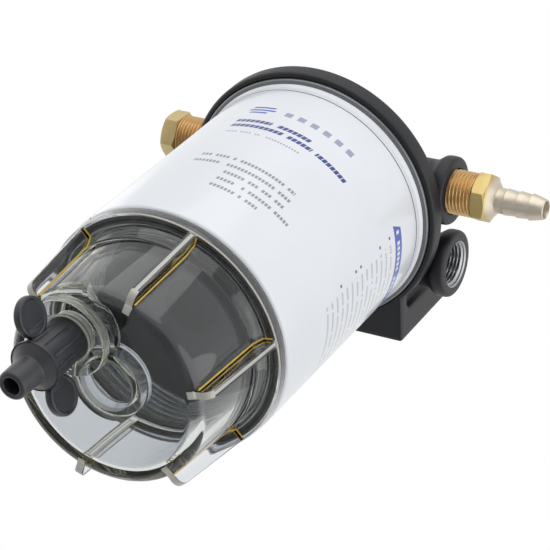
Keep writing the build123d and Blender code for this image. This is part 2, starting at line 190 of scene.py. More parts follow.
def merged() -> None:
    """Merges doubled points of the mesh being edited."""
    bpy.ops.mesh.select_all(action="SELECT")
    bpy.ops.mesh.remove_doubles(threshold=0.001 * MM)


def closed_up() -> None:
    """Merges doubled points of the mesh being edited, turns its faces outwards and ends the editing."""
    merged()
    bpy.ops.mesh.normals_make_consistent(inside=False)
    bpy.ops.object.mode_set(mode="OBJECT")


def turned(outline: Points, steps: int = 192) -> Piece:
    """Solid turned about Z from an outline, which closes on the axis or on itself.

    Args:
        outline: (r, z) points in millimetres.
        steps: faces round the axis.

    Returns:
        The new object.
    """
    on_axis = outline[0][0] == 0.0 and outline[-1][0] == 0.0
    path = outline if on_axis else outline + outline[:1]
    piece = drawn([Vector((r, 0.0, z)) * MM for r, z in path])
    bpy.ops.mesh.select_all(action="SELECT")
    bpy.ops.mesh.spin(steps=steps, angle=math.tau, center=(0, 0, 0), axis=(0, 0, 1))
    closed_up()
    return piece


def slab(outline: Points, thickness: float, edge: float = 0.0) -> Piece:
    """Flat plate in the plane of X and Z, centred on it.

    Args:
        outline: (x, z) points in millimetres.
        thickness: along Y.
        edge: width of the rounding along its edges.

    Returns:
        The new object.
    """
    path = [Vector((x, -thickness / 2, z)) * MM for x, z in outline]
    piece = drawn(path + path[:1])
    merged()
    bpy.ops.mesh.edge_face_add()
    bpy.ops.mesh.extrude_region_move(TRANSFORM_OT_translate={"value": (0, thickness * MM, 0)})
    closed_up()
    if edge:
        soften(piece, edge)
    return piece


def soften(piece: Piece, width: float) -> None:
    """Rounds every edge sharper than 40 degrees.

    Args:
        piece: mesh to round.
        width: in millimetres.
    """
    modifier = piece.modifiers.new("edges", "BEVEL")
    modifier.width = width * MM
    modifier.segments = 3
    modifier.angle_limit = math.radians(40)
    apply_all(piece)


def box(x: Pair, y: Pair, z: Pair) -> Piece:
    """Box between two values on each axis.

    Args:
        x: both values on X, in millimetres.
        y: both on Y.
        z: both on Z.

    Returns:
        The new object.
    """
    nothing_selected()
    bpy.ops.mesh.primitive_cube_add(size=1.0)
    piece = bpy.context.active_object
    middle = Vector((sum(x), sum(y), sum(z))) / 2 * MM
    size = Vector((x[1] - x[0], y[1] - y[0], z[1] - z[0])) * MM
    piece.data.transform(Matrix.Translation(middle) @ Matrix.Diagonal(size).to_4x4())
    return piece


def moved(piece: Piece, x: float = 0.0, y: float = 0.0, z: float = 0.0) -> Piece:
    """Piece with its mesh moved, in millimetres."""
    piece.data.transform(Matrix.Translation(Vector((x, y, z)) * MM))
    return piece


def swung(piece: Piece, degrees: float, axis: str = "Z") -> Piece:
    """Piece with its mesh turned about an axis through the origin."""
    piece.data.transform(Matrix.Rotation(math.radians(degrees), 4, axis))
    return piece


def around(piece: Piece, count: int, turn: float = 0.0) -> list[Piece]:
    """Copies of a piece at even angles about Z, which use it up.

    Args:
        piece: the piece.
        count: how many copies.
        turn: angle of the first, in degrees.

    Returns:
        The copies, each with its own mesh.
    """
    copies = []
    for i in range(count):
        copy = piece.copy()
        copy.data = piece.data.copy()
        bpy.context.collection.objects.link(copy)
        copies.append(swung(copy, turn + i * 360 / count))
    bpy.data.objects.remove(piece, do_unlink=True)
    return copies


def lying(piece: Piece, y: float, side: Side = Side.RIGHT) -> Piece:
    """Piece turned about Z laid on a port's axis, with its top away from the can's.

    Args:
        piece: the piece.
        y: place of the port's axis.
        side: which way the port looks.

    Returns:
        The piece.
    """
    swung(piece, 90, "Y")
    if side is Side.LEFT:
        swung(piece, 180)
    return moved(piece, 0, y, PORT_Z)


@dataclass(frozen=True)
class Thread:
    """Right-handed screw thread, pressed inwards from a turned surface."""

    surface_r: float
    depth: float
    pitch: float
    low: float
    high: float
    runout: float = 0.6       # turns over which it fades at each end
    crest: float = 0.12       # part of the pitch that stays flat
    rings: int = 10           # rings of points in each turn

    def path(self, rising: bool = True) -> Points:
        """The thread's stretch of an outline.

        Args:
            rising: whether the outline goes up there.

        Returns:
            The points.
        """
        count = round((self.high - self.low) / self.pitch * self.rings)
        points = [(self.surface_r, self.low + (self.high - self.low) * i / count) for i in range(count + 1)]
        return points if rising else points[::-1]

    def press(self, piece: Piece) -> Piece:
        """Moves the surface's points in to form the thread.

        Args:
            piece: turned piece with the thread's rings in its outline.

        Returns:
            The piece.
        """
        near = 0.002    # mm that a point of the surface may be off it
        for vertex in piece.data.vertices:
            x, y, z = vertex.co / MM
            r = math.hypot(x, y)
            if abs(r - self.surface_r) > near or not self.low - near <= z <= self.high + near:
                continue
            turn = (z / self.pitch - math.atan2(y, x) / math.tau) % 1.0
            rise = 1.0 - abs(2.0 * turn - 1.0)
            groove = min(1.0, max(0.0, (rise - self.crest) / (1.0 - 2.0 * self.crest)))
            fade = min(1.0, (z - self.low) / self.pitch / self.runout,
                       (self.high - z) / self.pitch / self.runout)
            scale = (r - self.depth * groove * max(0.0, fade)) / r
            vertex.co.x *= scale
            vertex.co.y *= scale
        return piece


def finished(piece: Piece, name: str, body: str, slot: str, node: str, *coats: Material,
             angle: float = 32.0) -> Piece:
    """Piece moved to its place in the frame, shaded, painted and tied to its body.

    Args:
        piece: mesh drawn about the can's axis.
        name: its name in the scene.
        body: body it rides on.
        slot: not used.
        node: solid that it stands for.
        coats: materials, in the order of the mesh's material indices.
        angle: edges sharper than this stay sharp, in degrees.

    Returns:
        The piece.
    """
    piece.name = name
    piece.data.name = name
    piece.data.materials.clear()
    piece.data.transform(Matrix.Translation(TO_FRAME))
    alone(piece)
    bpy.ops.object.shade_smooth_by_angle(angle=math.radians(angle))
    for coat in coats:
        piece.data.materials.append(coat)
    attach(piece, body)
    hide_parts(node)
    log.info("%s: %d faces", name, len(piece.data.polygons))
    return piece


# Materials

def linear(colour: str) -> tuple[float, ...]:
    """Linear colour of an sRGB hex value."""
    parts = [int(colour[i:i + 2], 16) / 255 for i in (1, 3, 5)]
    return (*(p / 12.92 if p <= 0.04045 else ((p + 0.055) / 1.055) ** 2.4 for p in parts), 1.0)


def add(tree: Tree, kind: str, inputs: dict | list = (), **settings: object) -> Node:
    """Adds one node with its settings and links.

    Args:
        tree: node tree.
        kind: node type, without the beginning that all have.
        inputs: by name or number, or in the node's order. Each is a value, an output or a node, which gives
            its first output.
        settings: attributes of the node.

    Returns:
        The node.
    """
    node = tree.nodes.new("ShaderNode" + kind)
    for key, value in settings.items():
        setattr(node, key, value)
    for key, value in inputs.items() if isinstance(inputs, dict) else enumerate(inputs):
        source = value.outputs[0] if isinstance(value, Node) else value
        if isinstance(source, Socket):
            tree.links.new(source, node.inputs[key])
        else:
            node.inputs[key].default_value = source
    return node


def layered(tree: Tree, base: tuple[float, ...], *layers: tuple[Node, tuple[float, ...]]) -> Socket:
    """Colour with others laid over it, each where its mask is 1.

    Args:
        tree: the material's tree.
        base: linear colour under the rest.
        layers: masks and linear colours, from the lowest.

    Returns:
        Output with the colour.
    """
    for mask, colour in layers:
        base = add(tree, "Mix", {0: mask, 6: base, 7: colour}, data_type="RGBA").outputs[2]
    return base


def bumped(tree: Tree, *heights: tuple[Node, float]) -> Node:
    """Normal bumped by one height over another.

    Args:
        tree: the material's tree.
        heights: what gives each height, and its depth in millimetres, below 0 where it goes inwards.

    Returns:
        Node with the normal.
    """
    last: dict[str, Node] = {}
    for height, depth in heights:
        normal = add(tree, "Bump", {"Height": height, "Distance": abs(depth) * MM, **last}, invert=depth < 0)
        last = {"Normal": normal}
    return normal


def marked(tree: Tree, *areas: list[tuple[Node | Socket, float, float]]) -> Node:
    """Mask of areas, each given by ranges that some values keep to.

    Args:
        tree: the material's tree.
        areas: for each area its values, each with the low and high end of its range.

    Returns:
        Node that is 1 in the areas and 0 elsewhere.
    """
    whole = 0.0
    for area in areas:
        inside = 1.0
        for value, low, high in area:
            near = add(tree, "Math", [value, (low + high) / 2, (high - low) / 2], operation="COMPARE")
            inside = add(tree, "Math", [inside, near], operation="MULTIPLY")
        whole = add(tree, "Math", [whole, inside], operation="MAXIMUM")
    return whole


def about_can(tree: Tree, place: Socket) -> tuple[Node, Node, Socket]:
    """Places about the can's axis.

    Args:
        tree: the material's tree.
        place: object coordinates.

    Returns:
        The place in millimetres, its angle round the can in radians, and its height.
    """
    centred = add(tree, "Mapping", {"Vector": place, "Location": -TO_FRAME / MM, "Scale": (1 / MM,) * 3})
    x, y, z = add(tree, "SeparateXYZ", [centred]).outputs
    return centred, add(tree, "Math", [y, x], operation="ARCTAN2"), z


@dataclass(frozen=True)
class Finish:
    """What every finish has: a name, a surface and, where it is clear, an inside."""

    name: str

    def build(self) -> Material:
        """Puts the material together.

        Returns:
            The material.
        """
        material = bpy.data.materials.new(self.name)
        material.use_nodes = True
        tree = material.node_tree
        tree.nodes.clear()
        place = add(tree, "TexCoord").outputs["Object"]
        shader = add(tree, "BsdfPrincipled", self.surface(tree, place))
        add(tree, "OutputMaterial", {"Surface": shader, **self.inside(tree)})
        return material

    def surface(self, tree: Tree, place: Socket) -> dict:
        """The shader's inputs by name, on a tree with object coordinates, which each finish works out."""
        raise NotImplementedError

    def inside(self, tree: Tree) -> dict:
        """What light meets under the surface, which is nothing in most finishes."""
        return {}


@dataclass(frozen=True)
class Grain(Finish):
    """Even surface with a fine grain: paint, rubber, moulded plastic or coated sheet."""

    colour: str
    roughness: float
    grain: float              # width of the grain, mm
    height: float             # depth of the grain, mm
    shift: float = 0.12       # how much the colour varies
    dulling: float = 0.12     # how much the roughness does
    metallic: float = 0.0
    swell: float = 0.0        # depth of a slow unevenness, mm
    swell_width: float = 9.0
    specular: float = 0.5

    def surface(self, tree: Tree, place: Socket) -> dict:
        """Even colour that drifts a little, and a gloss that follows the grain.

        Args:
            tree: the material's tree.
            place: object coordinates.

        Returns:
            The shader's inputs, by name.
        """
        fine = add(tree, "TexNoise", {
            "Vector": place, "Scale": 1 / (self.grain * MM), "Detail": 3.0, "Roughness": 0.6})
        slow = add(tree, "TexNoise", {"Vector": place, "Scale": 1 / (self.swell_width * MM), "Detail": 2.0})
        dark, pale = (tuple(min(1.0, part * share) for part in linear(self.colour)[:3]) + (1.0,)
                      for share in (1 - self.shift, 1 + self.shift))
        bright, dull = (min(1.0, self.roughness * share) for share in (1 - self.dulling, 1 + self.dulling))
        waves = [(fine, self.height)] + ([(slow, self.swell)] if self.swell else [])
        return {"Base Color": layered(tree, dark, (slow, pale)), "Metallic": self.metallic,
                "Roughness": add(tree, "MapRange", [fine, 0.3, 0.7, bright, dull]),
                "Specular IOR Level": self.specular, "Normal": bumped(tree, *waves)}


@dataclass(frozen=True)
class TurnedMetal(Finish):
    """Bare metal cut on a lathe: fine rings round X, and a colour that may change along it, where it paints
    reflections.
    """

    stops: tuple[tuple[float, str], ...]    # (mm along X in the frame, colour); colours that differ are painted reflections
    roughness: float
    mark: float = 0.006       # depth of the tool marks, mm
    ring: float = 0.25        # their spacing, mm
    bare: float = 1.0         # share of the surface that is clean metal, the rest is a dull film
    stain: float = 3.0        # width of the duller patches, mm
    dulling: float = 0.3      # how much the roughness varies with them

    def surface(self, tree: Tree, place: Socket) -> dict:
        """Colour by the stops, with any painted reflections in them, a patchy gloss and the tool marks.

        Args:
            tree: the material's tree.
            place: object coordinates.

        Returns:
            The shader's inputs, by name.
        """
        along = add(tree, "SeparateXYZ", [place]).outputs["X"]
        start, end = self.stops[0][0], self.stops[-1][0]
        ramp = add(tree, "ValToRGB", [add(tree, "MapRange", [along, start * MM, end * MM])])
        for i, (where, colour) in enumerate(self.stops):
            stops = ramp.color_ramp.elements
            stop = stops[i] if i < 2 else stops.new(1.0)
            stop.position = (where - start) / (end - start)
            stop.color = linear(colour)
        marks = add(tree, "TexNoise", {
            "W": along, "Scale": 1 / (self.ring * MM), "Detail": 1.0}, noise_dimensions="1D")
        patches = add(tree, "TexNoise", {"Vector": place, "Scale": 1 / (self.stain * MM)})
        bright, dull = (self.roughness * share for share in (1 - self.dulling, 1 + self.dulling))
        gloss = add(tree, "MapRange", [patches, 0.0, 1.0, bright, dull])
        return {"Base Color": ramp, "Roughness": gloss, "Metallic": self.bare,
                "Normal": bumped(tree, (marks, self.mark))}


@dataclass(frozen=True)
class PrintRow:
    """One row of plain blocks printed round the can."""

    height: float             # middle of the row above the can's lower edge
    tall: float
    start: float              # degrees round the can, 0 towards the hose fitting
    end: float
    colour: str
    block: float = 0.0        # length of a block, 0 for an unbroken bar
    gap: float = 0.0
    words: float = 0.0        # share of the blocks left out, as between words
    lean: float = 0.0         # how far the row's ends slant
    density: float = 1.0


@dataclass(frozen=True)
class PrintedEnamel(Finish):
    """Glossy white enamel on the drawn can, under a printed film whose edge shows as a thin line."""

    rows: tuple[PrintRow, ...]
    white: str = "#eff2f7"
    hazed: str = "#e6eaf0"
    film_colour: str = "#5f656a"
    can_r: float = 46.5
    film_top: float = 99.9
    film_ends: Pair = (-128.0, 78.0)    # degrees round the can
    film_step: float = 0.05   # thickness of the film, mm
    line: float = 0.26        # half the width of the line along its edge, mm
    haze: float = 26.0        # width of the greyer patches, mm
    ripple: Pair = (11.0, 0.10)    # width and depth of the drawn sheet's ripples, mm
    peel: Pair = (0.9, 0.002)    # and of the enamel's fine unevenness
    roughness: float = 0.3
    coat: Pair = (0.35, 0.1)    # weight and roughness of the gloss on top
    seed: float = 7.3         # sets which blocks of a row are left out

    def surface(self, tree: Tree, place: Socket) -> dict:
        """White with the print and the film's edge over it.

        Args:
            tree: the material's tree.
            place: object coordinates.

        Returns:
            The shader's inputs, by name.
        """
        _, angle, up = about_can(tree, place)
        along = add(tree, "Math", [angle, self.can_r], operation="MULTIPLY")
        haze = add(tree, "TexNoise", {"Vector": place, "Scale": 1 / (self.haze * MM), "Detail": 3.0})
        inks = [(self.ink(tree, row, along, up), linear(row.colour)) for row in self.rows]
        start, end = (math.radians(turn) * self.can_r for turn in self.film_ends)
        top, line = self.film_top, self.line
        edge = marked(tree, [(up, top - line, top + line), (along, start, end)],
                      *([(along, at - line, at + line), (up, 0.0, top)] for at in (start, end)))
        ripple = add(tree, "TexNoise", {
            "Vector": place, "Scale": 1 / (self.ripple[0] * MM), "Detail": 2.0, "Distortion": 0.6})
        peel = add(tree, "TexNoise", {"Vector": place, "Scale": 1 / (self.peel[0] * MM)})
        return {
            "Base Color": layered(tree, linear(self.white), (haze, linear(self.hazed)), *inks,
                                  (edge, linear(self.film_colour))),
            "Normal": bumped(tree, (ripple, self.ripple[1]), (peel, self.peel[1]), (edge, -self.film_step)),
            "Roughness": self.roughness, "Coat Weight": self.coat[0], "Coat Roughness": self.coat[1]}

    def ink(self, tree: Tree, row: PrintRow, along: Node, up: Socket) -> Node:
        """Where one row of the print lies.

        Args:
            tree: the material's tree.
            row: the row.
            along: millimetres round the can.
            up: millimetres above the can's lower edge.

        Returns:
            Node that is the ink's density there and 0 elsewhere.
        """
        if row.lean:
            offset = add(tree, "Math", [up, row.lean, -row.lean * row.height], operation="MULTIPLY_ADD")
            along = add(tree, "Math", [along, offset], operation="SUBTRACT")
        mask = marked(tree, [(up, row.height - row.tall / 2, row.height + row.tall / 2),
                             (along, *(math.radians(end) * self.can_r for end in (row.start, row.end)))])
        factors: list[Node | float] = [row.density]
        if row.block:
            step = row.block + row.gap
            count = add(tree, "Math", [along, step], operation="DIVIDE")
            part = add(tree, "Math", [count], operation="FRACT")
            whole = add(tree, "Math", [count], operation="FLOOR")
            seed = add(tree, "Math", [whole, row.height * self.seed], operation="ADD")
            chance = add(tree, "TexWhiteNoise", {"W": seed}, noise_dimensions="1D")
            factors += [add(tree, "Math", [part, row.block / step], operation="LESS_THAN"),
                        add(tree, "Math", [chance, row.words], operation="GREATER_THAN")]
        for factor in factors:
            mask = add(tree, "Math", [mask, factor], operation="MULTIPLY")
        return mask


@dataclass(frozen=True)
class ClearPlastic(Finish):
    """Clear moulded plastic: smooth and bright, olive in long paths, with a painted amber glow along each
    rib's root, and painted highlights as pale, slightly frosted edges on the ribs, the collars and the
    drain's thread."""

    tint: str = "#e6e9f0"
    # Colour of the painted glow of light along each rib's root
    amber_glow: str = "#f0cf62"
    # Colour of the painted highlights on the ribs, the collars and the drain's thread
    highlight_tint: str = "#fdfcf4"
    depth_tint: str = "#dfe0b8"
    density: float = 32.0     # how fast the depth's tint grows, per metre
    ior: float = 1.52
    roughness: float = 0.015
    glow_clear: float = 0.15  # what is left of the clearness in the painted amber glow
    highlight_frost: Pair = (0.25, 0.5)    # roughness and milkiness of the painted edge highlights
    flow: Pair = (14.0, 0.015)    # width and depth of the moulding's waves, mm
    line: float = 0.35        # half the painted amber glow's width, mm
    rib_half: float = 1.9     # half the width round a rib that the painted glow may take, mm
    rib_reach: Pair = (35.5, 44.9)    # distances from the axis between which it may lie
    rib_height: Pair = (-40.6, -3.4)    # and heights
    highlight_half: float = 0.6    # half the width of the painted highlight along a rib's outer face, mm
    highlight_off: float = 0.6     # how far from the wall that painted highlight starts, mm
    foot_highlight_half: float = 1.35   # half the width of the painted highlight on the foot, mm
    foot: Pair = (33.0, -39.2)    # where the foot's painted highlight starts, and its top
    thread: Pair = (9.1, -37.0)    # radius that holds the drain's thread, and its top
    # How much of the painted highlight the drain's thread gets
    thread_highlight: float = 0.8
    rings: tuple[tuple[float, ...], ...] = (
        (9.55, 10.25, -38.5, -36.1), (45.5, 46.3, -4.9, -4.1))    # radii, then heights, of the collars' edges, which carry painted highlights
    far: float = 100.0        # past everything in the bowl

    def surface(self, tree: Tree, place: Socket) -> dict:
        """Clear, but for the painted glow at the ribs' roots and the painted highlights on the edges.

        Args:
            tree: the material's tree.
            place: object coordinates.

        Returns:
            The shader's inputs, by name.
        """
        # root is the painted amber glow, edge the painted highlights
        root, edge = self.masks(tree, place)
        rough, milky = self.highlight_frost
        clear = add(tree, "MapRange", [root, 0.0, 1.0, 1.0, self.glow_clear])
        flow = add(tree, "TexNoise", {"Vector": place, "Scale": 1 / (self.flow[0] * MM), "Detail": 1.0})
        return {
            "Base Color": layered(tree, linear(self.tint), (root, linear(self.amber_glow)),
                                  (edge, linear(self.highlight_tint))),
            "Transmission Weight": add(tree, "Math", [edge, -milky, clear], operation="MULTIPLY_ADD"),
            "Roughness": add(tree, "Math", [edge, rough, self.roughness], operation="MULTIPLY_ADD"),
            "Normal": bumped(tree, (flow, self.flow[1])), "IOR": self.ior}

    def inside(self, tree: Tree) -> dict:
        """Tint that deepens with the way through the plastic."""
        return {"Volume": add(tree, "VolumeAbsorption", [linear(self.depth_tint), self.density])}

    def masks(self, tree: Tree, place: Socket) -> tuple[Node, Node]:
        """Where the painted amber glow lies, where the ribs meet the wall and the collar, and where the edges
        carry painted highlights.

        Args:
            tree: the material's tree.
            place: object coordinates.

        Returns:
            Two nodes, each 1 there and 0 elsewhere.
        """
        centred, angle, z = about_can(tree, place)
        flat = add(tree, "VectorMath", [centred, (1, 1, 0)], operation="MULTIPLY")
        radius, bore = (add(tree, "VectorMath", [flat, (*middle, 0)], operation="DISTANCE").outputs["Value"]
                        for middle in ((0, 0), DRAIN))
        step = math.tau / RIBS
        count = add(tree, "Math", [angle, 1 / step, RIBS + 0.5 - math.radians(RIB_TURN) / step],
                    operation="MULTIPLY_ADD")
        share = add(tree, "Math", [count], operation="FRACT")
        swing = add(tree, "Math", [share, step, -step / 2], operation="MULTIPLY_ADD")
        across = add(tree, "Math", [swing, radius], operation="MULTIPLY")
        (low_r, low), (top_r, top), (end_r, end) = WALL_LOW, WALL_TOP, WALL_END
        wall = add(tree, "MapRange", [z, low, top, low_r, top_r])
        flare = add(tree, "MapRange", [z, top, end, 0.0, end_r - top_r])
        wall = add(tree, "Math", [wall, flare], operation="ADD")
        beyond = add(tree, "Math", [radius, wall], operation="SUBTRACT")
        line, far = self.line, self.far
        rib = [(across, -self.rib_half, self.rib_half), (radius, *self.rib_reach), (z, *self.rib_height)]
        # Painted glow along each rib's root, at the wall and under the collar
        root = marked(tree, [(beyond, -line, line), *rib], [(z, end - line, end + line), *rib])
        # Painted highlight on the drain's thread
        thread = marked(tree, [(bore, -far, self.thread[0]), (z, -far, self.thread[1])])
        thread = add(tree, "Math", [thread, self.thread_highlight], operation="MULTIPLY")
        half, foot_highlight_half, (foot_r, foot_top) = self.highlight_half, self.foot_highlight_half, self.foot
        # Painted highlights on each rib's outer face and foot, and on the collars' edges
        edge = marked(
            tree, [(across, -half, half), (beyond, self.highlight_off, far), (z, -far, end - line)],
            [(across, -foot_highlight_half, foot_highlight_half), (radius, foot_r, far), (z, -far, foot_top)],
            *([(radius, *ring[:2]), (z, *ring[2:])] for ring in self.rings))
        return root, add(tree, "Math", [edge, thread], operation="MAXIMUM")


@dataclass(frozen=True)
class PleatedPaper(Finish):
    """Resin-treated filter paper: pale tan, matt, with short fibres."""

    colours: tuple[str, str] = ("#c4af7f", "#d8c596")
    fibre: Pair = (0.5, 0.05)    # width and depth of a fibre, mm
    stretch: float = 0.35     # a fibre's width against its length along Z
    roughness: float = 0.85

    def surface(self, tree: Tree, place: Socket) -> dict:
        """Upright fibres in two tans.

        Args:
            tree: the material's tree.
            place: object coordinates.

        Returns:
            The shader's inputs, by name.
        """
        spread = add(tree, "Mapping", {"Vector": place, "Scale": (1.0, 1.0, self.stretch)})
        fibre = add(tree, "TexNoise", {"Vector": spread, "Scale": 1 / (self.fibre[0] * MM), "Detail": 4.0})
        dark, pale = (linear(colour) for colour in self.colours)
        return {"Base Color": layered(tree, dark, (fibre, pale)), "Roughness": self.roughness,
                "Normal": bumped(tree, (fibre, self.fibre[1]))}


def label_rows() -> tuple[PrintRow, ...]:
    """The can's print, as plain bars and blocks with no lettering.

    Returns:
        The rows, from the lowest layer.
    """
    blue, navy, grey, pale = "#2f55b5", "#2d3f8c", "#8b919b", "#e9ecf2"
    rows = [PrintRow(height, 1.1, start, end, blue, lean=0.5)
            for height, start, end in ((83.6, -102.0, -91.0), (81.5, -103.0, -90.0), (79.4, -101.5, -93.0))]
    rows.append(PrintRow(81.4, 3.0, -86.5, -46.0, navy, block=2.9, gap=2.4, density=0.6))
    for height, start, end in ((72.0, -103.0, -85.5), (72.0, -82.5, -66.0), (68.0, -103.0, -77.5),
                               (68.0, -75.0, -62.5), (68.0, -60.0, -42.5)):
        rows.append(PrintRow(height, 2.2, start, end, navy, block=1.6, gap=0.3, lean=0.25))
    rows.append(PrintRow(62.6, 1.0, -102.0, -65.5, grey, block=0.8, gap=0.35, words=0.14, density=0.7))
    for height, start, end in ((43.0, -101, -53), (38.2, -101, -52), (33.4, -83, -52), (28.6, -83, -45.5),
                               (23.8, -83, -59.5)):
        rows.append(PrintRow(height, 1.7, start, end, grey, block=1.0, gap=0.4, words=0.14, density=0.95))
    rows.append(PrintRow(85.0, 5.2, -10.0, 62.0, blue, lean=0.5))
    rows.append(PrintRow(85.0, 1.9, -8.0, 58.0, pale, block=1.5, gap=0.7, words=0.12))
    for line in range(14):
        height = 78.6 - 3.8 * line
        rows.append(PrintRow(height, 1.2, -5.0, 56.0, grey, block=0.8, gap=0.35, words=0.16, density=0.7))
        if line in (0, 2, 6, 7, 10):
            rows.append(PrintRow(height, 1.1, -8.6, -7.2, navy))
    return tuple(rows)


class Finishes:
    """Every material of the object, each built once."""

    def __init__(self) -> None:
        """Builds them."""
        # Cast aluminium, satin black paint: a soft grey sheen with the sand grain of the mould
        self.cast_paint = Grain("cast_aluminium_satin_paint", "#1b1c20", 0.5, 0.5, 0.03, swell=0.08,
                                specular=0.36).build()
        # Machined aluminium: bright rings in the open ports
        self.bare_thread = TurnedMetal(
            "machined_aluminium", ((-60, "#a4a5a7"), (60, "#a4a5a7")), 0.42, mark=0.002).build()
        # Enamelled steel with its printed film: bright white with soft ripples
        self.enamel = PrintedEnamel("printed_white_enamel", label_rows()).build()
        # Lacquered tinplate of the double seam: dull grey metal
        self.seam_steel = Grain("lacquered_tinplate", "#77797c", 0.34, 0.6, 0.003, metallic=0.6).build()
        # Zinc-plated steel: pale grey metal with a mild bloom
        self.zinc = Grain("zinc_plated_steel", "#b6b9bc", 0.3, 1.2, 0.004, metallic=1.0).build()
        # Brass bar, turned and left bare; its tints along X are painted reflections: golden thread, yellower
        # hexagon, and a pale hose end that paints the white surroundings it reflects
        self.brass = TurnedMetal("turned_brass", (
            (-72, "#c4b07d"), (-66, "#c4b07d"), (-65, "#c9a671"), (-52, "#c9a671"), (52, "#c9a671"),
            (60, "#c9a671"), (61, "#bca66c"), (66, "#bca66c"), (67, "#c6bdac"), (88, "#c6bdac")),
            0.4, bare=0.72).build()
        # Nitrile rubber: dead matt black
        self.rubber = Grain("moulded_nitrile_rubber", "#4a4340", 0.6, 0.4, 0.01).build()
        # Polycarbonate, injection moulded: clear, olive where it is thick, with a painted amber glow at the
        # ribs' roots and painted highlights at its edges
        self.clear = ClearPlastic("clear_moulded_polycarbonate").build()
        # Glass-filled nylon, moulded: charcoal with a fine dull grain
        self.nylon = Grain("moulded_black_nylon", "#2a2b30", 0.42, 0.3, 0.012).build()
        # Filter paper, folded: tan and fibrous
        self.paper = PleatedPaper("pleated_filter_paper").build()
        # Coated sheet steel of the end caps: smooth dark grey
        self.cap_sheet = Grain("coated_sheet_steel", "#3e4048", 0.6, 2.5, 0.0, swell=0.02,
                               specular=0.06).build()


# The object

@dataclass
class Part:
    """Sub-assembly that dresses its own pieces."""

    finishes: Finishes


